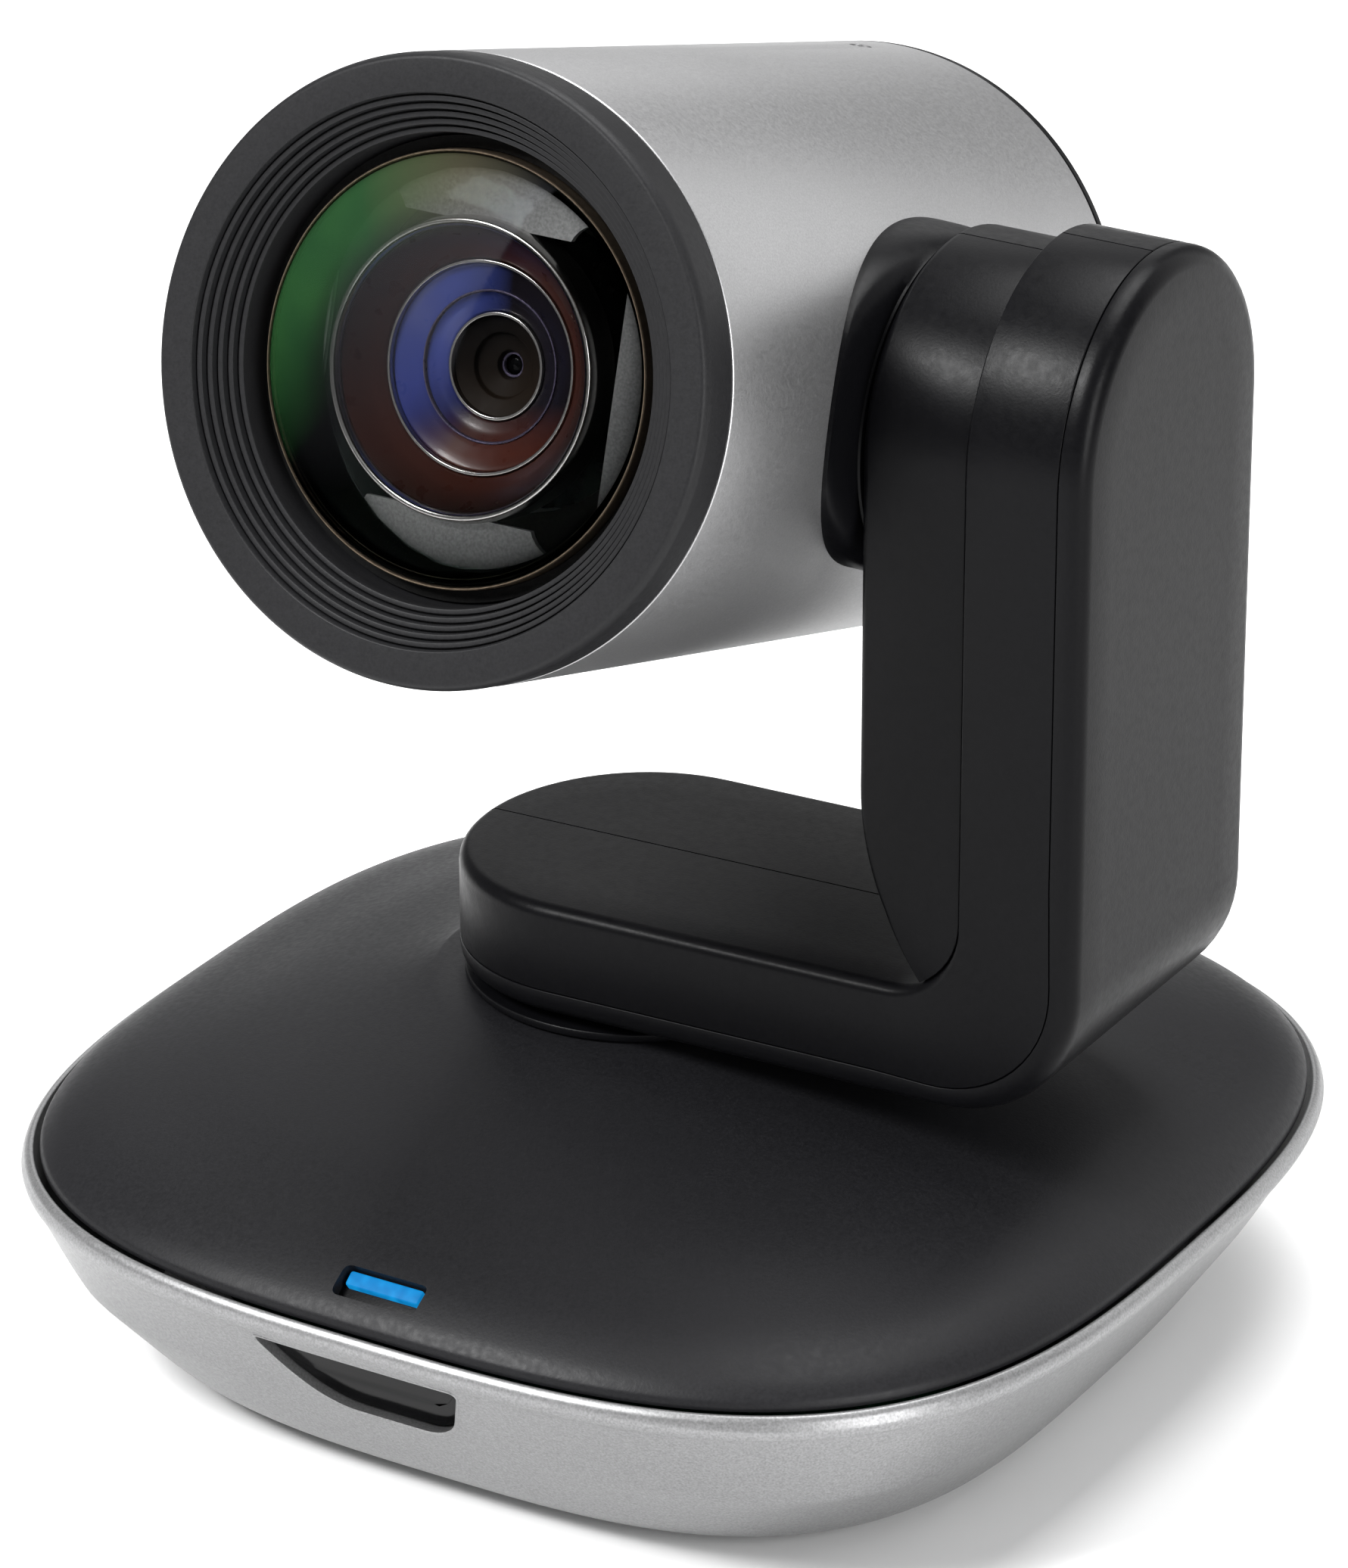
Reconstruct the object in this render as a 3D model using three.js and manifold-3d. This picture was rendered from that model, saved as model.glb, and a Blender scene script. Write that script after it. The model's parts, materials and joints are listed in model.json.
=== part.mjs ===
// Desktop pan-tilt-zoom camera.
// Millimetres, +Z up, front towards -Y, origin under the middle of the base.
// The base stands still, the arm turns on it about the pan axis, and the head hangs from the arm's
// housing and tilts about a shaft along X.

import * as THREE from 'three';
import { mergeVertices } from 'three/addons/utils/BufferGeometryUtils.js';
import Module from 'manifold-3d';

const wasm = await Module();
wasm.setup();

// ---------------------------------------------------------------- driving dimensions

const GAP = 0.3; // clearance between neighbouring pieces
const WALL = 2; // moulded wall thickness

// Base
const PLATE_Z = 1.2; // underside of the bottom plate, above the feet's contact plane
const RIM_Z = 25; // seam between the dish and its cover
const HUB_Z = 40; // top of the cover round the turntable
const HUB_R = 22.5; // inside this radius the cover is round about the pan axis
const DISH_HALF = 65; // half width of the dish at its rim
const COVER_HALF = 63.5; // half width of the cover at the seam
const PLATE_HALF = 43.6; // half width of the bottom plate
const FLANGE_HALF = 36.8; // half width of the opening inside the dish's bottom flange
const FLANGE_Z = 5.5; // top of that flange
const BASE_POWER = 3; // squareness of the base seen from above: 2 is a circle
const BASE_SEGMENTS = 48;

// Pan
const PAN_X = -5; // the pan axis stands a little left of the base's middle
const NECK_R = 16.5;
const TURNTABLE_R = 19.2;
const TURNTABLE_TOP = 41.2;
const PAN_GEAR_TEETH = 48;
const PAN_PINION_TEETH = 12;
const PAN_MODULE = 1;
const PAN_GEAR_Z = 22.6;
const PAN_GEAR_H = 3.4;
const PAN_MOTOR_ANGLE = 40; // degrees from +X, as seen from the pan axis

// Arm
const ARM_TOP_Z = 56.4; // top of the arm's foot beside the post
const ARM_BOTTOM_Z = 43.5; // underside of the foot beside the outer corner
const FOOT_SLOPE = 1.5; // degrees by which the foot drops from there towards its round end
const ARM_HALF = 19.7; // half depth of the arm, front to back
const ARM_ROUND_Z = 115.6; // middle of the arm's round top
const ARM_RISE = 20.1; // height of that round top
const ARM_OUTER_X = 58.7;
const ARM_INNER_X = 45.2; // seam between the arm and the tilt housing
const ARM_OUTER_CORNER = 16;
const ARM_INNER_CORNER = 9;
const COVER_THICK = 3; // outer cover
const HOUSING_INNER_X = 32.9;
const HOUSING_HALF = 19.3;
const HOUSING_ROUND_Z = 115; // middle of the housing's round top
const HOUSING_RISE = 18.4; // height of that round top
const HOUSING_SWEEP = 32; // radius of the housing's lower corner

// Tilt
const TILT_Z = 113.75;
const REST_TILT = 16; // degrees that the lens points up at rest
const SHAFT_R = 7;
const SHAFT_BORE = 4;
const TILT_MODULE = 0.8;
const TILT_GEAR_TEETH = 36;
const TILT_PINION_TEETH = 12;
const TILT_GEAR_X = 38;
const TILT_GEAR_W = 3.4;

// Head, in its own frame: the tilt axis is the origin and the lens points along -Y
const HEAD_X = -0.5; // the barrel's axis, beside the base's middle
const BARREL_R = 32.1;
const BARREL_BORE = 30;
const BEZEL_FRONT_Y = -50.7;
const BARREL_FRONT_Y = -45.3;
const CAP_BACK_Y = 42.6;
const CAP_THICK = 1.7;
const GLASS_R = 22.3;
const GLASS_Y = -45.2; // plane of the front glass's rim
const SADDLE_HALF_Y = 24.7;
const SADDLE_HALF_Z = 18.5;
const SADDLE_FACE_X = 32.3;
const BARREL_SEGMENTS = 48;

// ---------------------------------------------------------------- colours

const SILVER = { color: 0xb4b6b8, roughness: 0.38, metalness: 0.75 };
const CHARCOAL = { color: 0x222225, roughness: 0.62, metalness: 0.1 };
const BLACK = { color: 0x161618, roughness: 0.45, metalness: 0.1 };
const GLOSS_BLACK = { color: 0x060607, roughness: 0.08, metalness: 0.1 };
const DARK_METAL = { color: 0x3a3b3e, roughness: 0.4, metalness: 0.9 };
const STEEL = { color: 0x9a9c9e, roughness: 0.35, metalness: 1 };
const BRASS = { color: 0xb08d4a, roughness: 0.35, metalness: 1 };
const RUBBER = { color: 0x1b1b1b, roughness: 0.9, metalness: 0 };
const BLUE = { color: 0x1f7fe0, roughness: 0.3, metalness: 0 };
const GLASS = { color: 0x24306a, roughness: 0.03, metalness: 0 };
const GEAR_WHITE = { color: 0xd8d4c8, roughness: 0.5, metalness: 0 };
const BOARD = { color: 0x0f4a2c, roughness: 0.5, metalness: 0.1 };

// ---------------------------------------------------------------- small helpers

const rad = THREE.MathUtils.degToRad;

function moved(geometry, x, y, z) {
  geometry.translate(x, y, z);
  return geometry;
}

// A closed geometry with its shared vertices merged, as a manifold solid.
function solid(geometry) {
  const bare = geometry.clone();
  bare.deleteAttribute('normal');
  bare.deleteAttribute('uv');
  const merged = mergeVertices(bare, 1e-4);
  return new wasm.Manifold(new wasm.Mesh({
    numProp: 3,
    vertProperties: new Float32Array(merged.attributes.position.array),
    triVerts: new Uint32Array(merged.index.array),
  }));
}

function geometryOf(body) {
  const mesh = body.getMesh();
  const geometry = new THREE.BufferGeometry();
  const corners = new Float32Array(mesh.vertProperties);
  geometry.setAttribute('position', new THREE.BufferAttribute(corners, 3));
  geometry.setIndex(new THREE.BufferAttribute(new Uint32Array(mesh.triVerts), 1));
  geometry.computeVertexNormals();
  return geometry;
}

// The first geometry with all the others cut away.
function cut(first, ...others) {
  let body = solid(first);
  for (const other of others) {
    body = body.subtract(solid(other));
  }
  return geometryOf(body);
}

function common(first, ...others) {
  let body = solid(first);
  for (const other of others) {
    body = body.intersect(solid(other));
  }
  return geometryOf(body);
}

function joined(first, ...others) {
  let body = solid(first);
  for (const other of others) {
    body = body.add(solid(other));
  }
  return geometryOf(body);
}

// A box given by its lowest and highest corners.
function box(x0, y0, z0, x1, y1, z1) {
  const geometry = new THREE.BoxGeometry(x1 - x0, y1 - y0, z1 - z0);
  return moved(geometry, (x0 + x1) / 2, (y0 + y1) / 2, (z0 + z1) / 2);
}

// Cylinders along each axis, from the low end to the high end.
function rodZ(r, x, y, z0, z1, segments = 28) {
  const geometry = new THREE.CylinderGeometry(r, r, z1 - z0, segments);
  geometry.rotateX(Math.PI / 2);
  return moved(geometry, x, y, (z0 + z1) / 2);
}

function rodX(r, x0, x1, y, z, segments = 28) {
  const geometry = new THREE.CylinderGeometry(r, r, x1 - x0, segments);
  geometry.rotateZ(-Math.PI / 2);
  return moved(geometry, (x0 + x1) / 2, y, z);
}

function rodY(r, x, z, y0, y1, segments = 28) {
  return moved(new THREE.CylinderGeometry(r, r, y1 - y0, segments), x, (y0 + y1) / 2, z);
}

function points(list) {
  return list.map(([r, h]) => new THREE.Vector2(r, h));
}

// Turns a closed geometry's faces outwards when its profile ran the other way.
function outward(geometry) {
  const place = geometry.attributes.position;
  const index = geometry.index.array;
  const [a, b, c] = [new THREE.Vector3(), new THREE.Vector3(), new THREE.Vector3()];
  let volume = 0;
  for (let i = 0; i < index.length; i += 3) {
    a.fromBufferAttribute(place, index[i]);
    b.fromBufferAttribute(place, index[i + 1]);
    c.fromBufferAttribute(place, index[i + 2]);
    volume += a.dot(b.cross(c));
  }
  if (volume < 0) {
    index.reverse();
  }
  return geometry;
}

// A closed ring profile of [radius, height] pairs.
function ringProfile(outer, inner, low, high) {
  return points([[inner, low], [outer, low], [outer, high], [inner, high], [inner, low]]);
}

// Lathes about a vertical axis, and about an axis along Y.
function latheZ(profile, segments, x = 0, y = 0) {
  const geometry = outward(new THREE.LatheGeometry(profile, segments));
  geometry.rotateX(Math.PI / 2);
  return moved(geometry, x, y, 0);
}

function latheY(profile, segments, x = 0, z = 0) {
  return moved(outward(new THREE.LatheGeometry(profile, segments)), x, 0, z);
}

function ringZ(outer, inner, low, high, x, y, segments = 36) {
  return latheZ(ringProfile(outer, inner, low, high), segments, x, y);
}

function ringY(outer, inner, low, high, x, z, segments = 36) {
  return latheY(ringProfile(outer, inner, low, high), segments, x, z);
}

function ringX(outer, inner, low, high, y, z, segments = 36) {
  const geometry = outward(new THREE.LatheGeometry(ringProfile(outer, inner, low, high), segments));
  geometry.rotateZ(-Math.PI / 2);
  return moved(geometry, 0, y, z);
}

// Extrusions of a flat shape: drawn in XY and raised along Z, drawn in XZ and run along Y,
// or drawn in YZ and run along X.
function extrudeZ(shape, z0, z1, curveSegments = 12) {
  const options = { depth: z1 - z0, bevelEnabled: false, curveSegments };
  return moved(new THREE.ExtrudeGeometry(shape, options), 0, 0, z0);
}

function extrudeY(shape, y0, y1, curveSegments = 12) {
  const geometry = extrudeZ(shape, -y1, -y0, curveSegments);
  geometry.rotateX(Math.PI / 2);
  return geometry;
}

function extrudeX(shape, x0, x1, curveSegments = 12) {
  const geometry = extrudeZ(shape, x0, x1, curveSegments);
  const turn = new THREE.Matrix4().set(0, 0, 1, 0, 1, 0, 0, 0, 0, 1, 0, 0, 0, 0, 0, 1);
  geometry.applyMatrix4(turn);
  return geometry;
}

// How far a rounded square of unit half width reaches in a direction: 2 is a circle,
// and higher powers are squarer.
function reach(angle, power) {
  const c = Math.abs(Math.cos(angle)) ** power;
  const s = Math.abs(Math.sin(angle)) ** power;
  return (c + s) ** (-1 / power);
}

function roundedSquare(half, power, count = BASE_SEGMENTS) {
  const shape = new THREE.Shape();
  for (let i = 0; i < count; i += 1) {
    const angle = (i / count) * 2 * Math.PI;
    const r = half * reach(angle, power);
    const place = [r * Math.cos(angle), r * Math.sin(angle)];
    if (i === 0) {
      shape.moveTo(...place);
    } else {
      shape.lineTo(...place);
    }
  }
  shape.closePath();
  return shape;
}

// A lathe whose rings are pushed out to rounded squares. rings(z, r) gives each ring's power and
// how far its middle is shifted along X.
function squareLathe(profile, rings) {
  const geometry = latheZ(profile, BASE_SEGMENTS);
  const place = geometry.attributes.position;
  for (let i = 0; i < place.count; i += 1) {
    const x = place.getX(i);
    const y = place.getY(i);
    const { power, shift } = rings(place.getZ(i), Math.hypot(x, y));
    const scale = reach(Math.atan2(y, x), power);
    place.setXY(i, x * scale + shift, y * scale);
  }
  return geometry;
}

// A gear outline with straight-sided teeth. The teeth are thinner than half the pitch, for backlash.
function gearShape(teeth, module, bore, toothAtZero) {
  const pitchR = (module * teeth) / 2;
  const rootR = pitchR - 0.95 * module;
  const tipR = pitchR + 0.7 * module;
  const half = Math.PI / (2 * teeth);
  const rootHalf = half * 1.05;
  const tipHalf = half * 0.42;
  const start = toothAtZero ? 0 : Math.PI / teeth;
  const shape = new THREE.Shape();
  for (let i = 0; i < teeth; i += 1) {
    const middle = start + (i / teeth) * 2 * Math.PI;
    const corners = [[rootR, -rootHalf], [tipR, -tipHalf], [tipR, tipHalf], [rootR, rootHalf]];
    for (const [r, offset] of corners) {
      const place = [r * Math.cos(middle + offset), r * Math.sin(middle + offset)];
      if (i === 0 && offset === -rootHalf) {
        shape.moveTo(...place);
      } else {
        shape.lineTo(...place);
      }
    }
  }
  shape.closePath();
  if (bore > 0) {
    const hole = new THREE.Path();
    hole.absarc(0, 0, bore, 0, 2 * Math.PI, true);
    shape.holes.push(hole);
  }
  return shape;
}

function roundedRect(x0, y0, x1, y1, r) {
  const shape = new THREE.Shape();
  shape.moveTo(x0 + r, y0);
  shape.lineTo(x1 - r, y0);
  shape.absarc(x1 - r, y0 + r, r, -Math.PI / 2, 0);
  shape.lineTo(x1, y1 - r);
  shape.absarc(x1 - r, y1 - r, r, 0, Math.PI / 2);
  shape.lineTo(x0 + r, y1);
  shape.absarc(x0 + r, y1 - r, r, Math.PI / 2, Math.PI);
  shape.lineTo(x0, y0 + r);
  shape.absarc(x0 + r, y0 + r, r, Math.PI, 1.5 * Math.PI);
  return shape;
}

const camera = new THREE.Group();
const head = new THREE.Group();
head.position.set(HEAD_X, 0, TILT_Z);
head.rotation.x = -rad(REST_TILT);
camera.add(head);

function add(parent, name, geometry, look) {
  const mesh = new THREE.Mesh(geometry, new THREE.MeshStandardMaterial(look));
  mesh.name = name;
  parent.add(mesh);
}

// ---------------------------------------------------------------- base: dish, cover and bottom plate

const SCREW_PLACES = [[-31, -31], [31, -31], [31, 31], [-31, 31]];
const FOOT_PLACES = [[-25, -25], [25, -25], [25, 25], [-25, 25]];
const FOOT_R = 6;
const FOOT_SEAT = 0.9; // how deep the feet sit in the bottom plate
const INSERT_R = 6;
const INSERT_BORE = 3.175; // quarter-inch tripod thread
const INSERT_TOP = 10.6;

// The dish's corners are fullest half way down.
function dishRings(z) {
  const middle = 12;
  const fullness = Math.max(0, 1 - Math.abs(z - middle) / middle);
  return { power: BASE_POWER + 0.7 * fullness, shift: 0 };
}

const WINDOW_TOP = 21.6;
const WINDOW_BOTTOM = 12.4;
const WINDOW_TOP_HALF = 12.2;
const WINDOW_BOTTOM_HALF = 7.4;
const WINDOW_X = -1.8;
const PORT_HALF = 27;
const PORT_LOW = 8.5;
const PORT_HIGH = 20.5;
const PORT_Y = 53.5; // outer face of the port panel

function windowShape(grow) {
  const shape = new THREE.Shape();
  shape.moveTo(WINDOW_X - WINDOW_BOTTOM_HALF - grow, WINDOW_BOTTOM - grow);
  shape.lineTo(WINDOW_X + WINDOW_BOTTOM_HALF + grow, WINDOW_BOTTOM - grow);
  shape.lineTo(WINDOW_X + WINDOW_TOP_HALF + grow, WINDOW_TOP + grow);
  shape.lineTo(WINDOW_X - WINDOW_TOP_HALF - grow, WINDOW_TOP + grow);
  shape.closePath();
  return shape;
}

function dishOutside() {
  return [
    [44, PLATE_Z], [48.2, PLATE_Z], [50.6, 2.2], [52.6, 4.4], [55.3, 8.5], [58.2, 13], [61.2, 17.8],
    [64, 22.2], [DISH_HALF, 23.8], [64.4, RIM_Z],
  ];
}

function baseTray() {
  const profile = points([
    ...dishOutside(),
    [63.9, RIM_Z], [59.4, 18.4], [53.7, 9.4], [50.9, FLANGE_Z], [FLANGE_HALF, FLANGE_Z],
    [FLANGE_HALF, PLATE_Z + WALL + GAP], [44, PLATE_Z + WALL + GAP], [44, PLATE_Z],
  ]);
  const holes = SCREW_PLACES.map(([x, y]) => rodZ(1.4, x, y, PLATE_Z + WALL, FLANGE_Z + 1, 12));
  const ports = box(-PORT_HALF, 46, PORT_LOW, PORT_HALF, 70, PORT_HIGH);
  const irOpening = extrudeY(windowShape(GAP), -70, -48);
  return cut(squareLathe(profile, dishRings), irOpening, ports, ...holes);
}

// A black pane that follows the dish's front wall, 1.4 thick and just below its surface.
function infraredWindow() {
  const profile = points([
    [55.1, 8.5], [58, 13], [61, 17.8], [63.4, 22], [62.1, 22.8],
    [59.7, 18.6], [56.8, 13.9], [53.8, 9.2], [55.1, 8.5],
  ]);
  return common(squareLathe(profile, dishRings), extrudeY(windowShape(0), -70, -48));
}

// The cover's rings turn from the rim's rounded square into circles about the pan axis. Half way in
// they lean a little to the arm's side.
function coverRings(z, r) {
  const lean = 3;
  const inwards = THREE.MathUtils.clamp((COVER_HALF - r) / (COVER_HALF - HUB_R), 0, 1);
  const shift = PAN_X * inwards ** 4 + 4 * lean * inwards * (1 - inwards);
  return { power: BASE_POWER - inwards ** 0.8, shift };
}

function coverOutside() {
  return [
    [COVER_HALF, RIM_Z + GAP], [COVER_HALF - 0.5, 26.2], [61.4, 27.6], [58.4, 29.4], [53.6, 31.4],
    [46, 34.2], [36, 36.9], [20.6, HUB_Z],
  ];
}

const LIGHT_X = -1;
const LIGHT_Y = -59.6;
const LIGHT_Z = 28.7;
const LIGHT_HALF = 4.6;
const LIGHT_TILT = 36;

// A block lying in the cover's slope at the status light.
function lightBlock(half, length, low, high) {
  const block = box(-half, -length / 2, low, half, length / 2, high);
  block.rotateX(rad(LIGHT_TILT));
  return moved(block, LIGHT_X, LIGHT_Y, LIGHT_Z);
}

function baseCover() {
  const profile = points([
    ...coverOutside(),
    [NECK_R + 0.6, HUB_Z], [NECK_R + 0.6, HUB_Z - WALL], [20.5, HUB_Z - WALL], [20.5, 31.5],
    [HUB_R, 31.5], [HUB_R, 37.2], [35.6, 34.8], [45.4, 32], [52.4, 29.4], [58.6, 26.6],
    [60.6, RIM_Z + GAP], [COVER_HALF, RIM_Z + GAP],
  ]);
  return cut(squareLathe(profile, coverRings), lightBlock(LIGHT_HALF + 0.5, 3.6, -6, 6));
}

function bottomPlate() {
  const plate = extrudeZ(roundedSquare(PLATE_HALF, BASE_POWER), PLATE_Z, PLATE_Z + WALL);
  const boss = rodZ(INSERT_R + GAP + 2.4, 0, 0, PLATE_Z + 0.5, INSERT_TOP - 0.6, 28);
  const screwHoles = SCREW_PLACES.map(([x, y]) => rodZ(1.5, x, y, 0, 9, 12));
  const counterbores = SCREW_PLACES.map(([x, y]) => rodZ(2.9, x, y, 0, PLATE_Z + 1.2, 16));
  const seats = FOOT_PLACES.map(([x, y]) => rodZ(FOOT_R + GAP, x, y, 0, PLATE_Z + FOOT_SEAT, 18));
  const insertHole = rodZ(INSERT_R + GAP, 0, 0, 0, 14, 28);
  return cut(joined(plate, boss), insertHole, ...screwHoles, ...counterbores, ...seats);
}

function footPad() {
  return rodZ(FOOT_R, 0, 0, 0, PLATE_Z + FOOT_SEAT - GAP, 18);
}

// A pan-head screw, head down, with a cross recess.
function baseScrew() {
  const screwHead = rodZ(2.5, 0, 0, PLATE_Z - 0.3, PLATE_Z + 0.9, 16);
  const shank = rodZ(1.1, 0, 0, PLATE_Z + 0.5, FLANGE_Z + 0.8, 10);
  const slotA = box(-1.4, -0.25, 0, 1.4, 0.25, PLATE_Z + 0.4);
  const slotB = box(-0.25, -1.4, 0, 0.25, 1.4, PLATE_Z + 0.4);
  return cut(joined(screwHead, shank), slotA, slotB);
}

add(camera, 'base_tray', baseTray(), SILVER);
add(camera, 'infrared_window', infraredWindow(), GLOSS_BLACK);
add(camera, 'base_cover', baseCover(), CHARCOAL);
add(camera, 'status_light', lightBlock(LIGHT_HALF, 2.6, -4.4, -0.9), BLUE);
add(camera, 'bottom_plate', bottomPlate(), CHARCOAL);
add(camera, 'tripod_insert', ringZ(INSERT_R, INSERT_BORE, PLATE_Z, INSERT_TOP, 0, 0, 28), BRASS);
FOOT_PLACES.forEach(([x, y], i) => {
  add(camera, `foot_pad_${i + 1}`, moved(footPad(), x, y, 0), RUBBER);
});
SCREW_PLACES.forEach(([x, y], i) => {
  add(camera, `base_screw_${i + 1}`, moved(baseScrew(), x, y, 0), STEEL);
});

// ---------------------------------------------------------------- base: what it holds

const PAN_GEAR_PITCH = (PAN_MODULE * PAN_GEAR_TEETH) / 2;
const PAN_PINION_PITCH = (PAN_MODULE * PAN_PINION_TEETH) / 2;
const PAN_CENTRES = PAN_GEAR_PITCH + PAN_PINION_PITCH;
const PAN_MOTOR_X = PAN_X + PAN_CENTRES * Math.cos(rad(PAN_MOTOR_ANGLE));
const PAN_MOTOR_Y = PAN_CENTRES * Math.sin(rad(PAN_MOTOR_ANGLE));
const PAN_MOTOR_R = 9.5;
const BOARD_Z = 14;
const BOARD_THICK = 1.6;
const BOARD_HALF = 50;
const BALLAST_Z = 7.8;
const BALLAST_THICK = 2;
const BALLAST_HALF = 36;

function ballastPlate() {
  const outline = roundedSquare(BALLAST_HALF, BASE_POWER);
  const plate = extrudeZ(outline, BALLAST_Z, BALLAST_Z + BALLAST_THICK);
  return cut(plate, rodZ(INSERT_R + 3.2, 0, 0, 6, 12, 28));
}

function mainBoard() {
  const outline = roundedSquare(BOARD_HALF, BASE_POWER);
  const board = extrudeZ(outline, BOARD_Z, BOARD_Z + BOARD_THICK);
  const notch = box(-PORT_HALF - 1, 38.5, 12, PORT_HALF + 1, 60, 18);
  const motorHole = rodZ(PAN_MOTOR_R + 0.6, PAN_MOTOR_X, PAN_MOTOR_Y, 12, 18, 32);
  return cut(board, notch, motorHole);
}

function panMotor() {
  const can = rodZ(PAN_MOTOR_R, PAN_MOTOR_X, PAN_MOTOR_Y, 10.2, 21, 32);
  const boss = rodZ(3, PAN_MOTOR_X, PAN_MOTOR_Y, 20.5, 21.8, 20);
  return joined(can, boss);
}

function panPinion() {
  const shape = gearShape(PAN_PINION_TEETH, PAN_MODULE, 0, false);
  const pinion = extrudeZ(shape, PAN_GEAR_Z - 0.4, PAN_GEAR_Z + PAN_GEAR_H + 0.4);
  pinion.rotateZ(rad(PAN_MOTOR_ANGLE + 180));
  return moved(pinion, PAN_MOTOR_X, PAN_MOTOR_Y, 0);
}

const PORT_PANEL_Y = PORT_Y - 1.8;
const POWER_X = -17;
const USB_X = 0;
const CABLE_X = 16;
const PORT_Z = 14.6;

function portPanel() {
  const half = PORT_HALF - GAP;
  const plate = box(-half, PORT_PANEL_Y, PORT_LOW + GAP, half, PORT_Y, PORT_HIGH - GAP);
  const power = rodY(4.1 + GAP, POWER_X, PORT_Z, 50, 56, 24);
  const usb = box(USB_X - 5.6, 50, PORT_Z - 5.1, USB_X + 5.6, 56, PORT_Z + 5.1);
  const cable = rodY(5 + GAP, CABLE_X, PORT_Z, 50, 56, 24);
  const lock = box(22.6, 50, PORT_Z - 3.5, 25.4, 56, PORT_Z + 3.5);
  return cut(plate, power, usb, cable, lock);
}

// A socket body with its mouth at the panel, closed at the back.
function powerSocket() {
  const body = rodY(4.1, POWER_X, PORT_Z, 42, PORT_Y, 24);
  const bore = rodY(3.2, POWER_X, PORT_Z, 44, 56, 24);
  return cut(body, bore);
}

function usbSocket() {
  const half = 5.3;
  const body = box(USB_X - half, 41, PORT_Z - 4.8, USB_X + half, PORT_Y, PORT_Z + 4.8);
  const mouth = box(USB_X - 4.2, 43, PORT_Z - 3.9, USB_X + 4.2, 56, PORT_Z + 3.9);
  return cut(body, mouth);
}

function cableSocket() {
  const body = rodY(5, CABLE_X, PORT_Z, 42, PORT_Y, 24);
  const bore = rodY(4.2, CABLE_X, PORT_Z, 45, 56, 24);
  return cut(body, bore);
}

add(camera, 'ballast_plate', ballastPlate(), STEEL);
add(camera, 'main_board', mainBoard(), BOARD);
add(camera, 'pan_motor', panMotor(), DARK_METAL);
add(camera, 'pan_pinion', panPinion(), BRASS);
add(camera, 'port_panel', portPanel(), BLACK);
add(camera, 'power_socket', powerSocket(), GLOSS_BLACK);
add(camera, 'usb_socket', usbSocket(), STEEL);
add(camera, 'cable_socket', cableSocket(), GLOSS_BLACK);
add(camera, 'infrared_receiver', box(-5, -52, BOARD_Z + BOARD_THICK + GAP, 1.4, -47, 20.4), GLOSS_BLACK);
add(camera, 'light_chip', box(-3, -49, 21.4, 1, -46.4, 23), GEAR_WHITE);
add(camera, 'pan_bearing', ringZ(20.2, NECK_R + GAP, 31.8, HUB_Z - WALL - GAP, PAN_X, 0), STEEL);

// ---------------------------------------------------------------- arm: turntable and shells

function turntable() {
  const profile = points([
    [6, PAN_GEAR_Z - 0.8], [NECK_R, PAN_GEAR_Z - 0.8], [NECK_R, HUB_Z + GAP],
    [TURNTABLE_R, HUB_Z + GAP], [TURNTABLE_R, TURNTABLE_TOP], [6, TURNTABLE_TOP], [6, PAN_GEAR_Z - 0.8],
  ]);
  return latheZ(profile, 44, PAN_X, 0);
}

function panGear() {
  const shape = gearShape(PAN_GEAR_TEETH, PAN_MODULE, NECK_R + GAP, true);
  const gear = extrudeZ(shape, PAN_GEAR_Z, PAN_GEAR_Z + PAN_GEAR_H, 24);
  gear.rotateZ(rad(PAN_MOTOR_ANGLE));
  return moved(gear, PAN_X, 0, 0);
}

// The L of the arm as seen from the front, inset by a margin all round. The foot's top and underside
// both drop towards its round end.
function armProfile(inset) {
  const slope = rad(FOOT_SLOPE);
  const left = PAN_X - ARM_HALF - 1 + inset;
  const right = ARM_OUTER_X - inset;
  const top = ARM_ROUND_Z + ARM_RISE + 1 - inset;
  const outer = ARM_OUTER_CORNER - inset;
  const inner = ARM_INNER_CORNER + inset;
  const outerX = ARM_OUTER_X - ARM_OUTER_CORNER;
  const outerZ = ARM_BOTTOM_Z + ARM_OUTER_CORNER;
  const innerX = ARM_INNER_X - ARM_INNER_CORNER;
  const innerZ = ARM_TOP_Z + ARM_INNER_CORNER;
  const low = outerZ - outer / Math.cos(slope) - (outerX - left) * Math.tan(slope);
  const shelf = innerZ - inner / Math.cos(slope) - (innerX - left) * Math.tan(slope);
  const shape = new THREE.Shape();
  shape.moveTo(left, low);
  shape.absarc(outerX, outerZ, outer, -Math.PI / 2 + slope, 0);
  shape.lineTo(right, top);
  shape.lineTo(ARM_INNER_X + inset, top);
  shape.absarc(innerX, innerZ, inner, 0, -Math.PI / 2 + slope, true);
  shape.lineTo(left, shelf);
  shape.closePath();
  return shape;
}

// An outline seen from the side: straight up to a height, with a round top above it.
function sideOutline(half, middle, rise, low) {
  const shape = new THREE.Shape();
  shape.moveTo(-half, low);
  shape.lineTo(half, low);
  shape.lineTo(half, middle);
  shape.absellipse(0, middle, half, rise, 0, Math.PI);
  shape.lineTo(-half, low);
  return shape;
}

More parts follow.
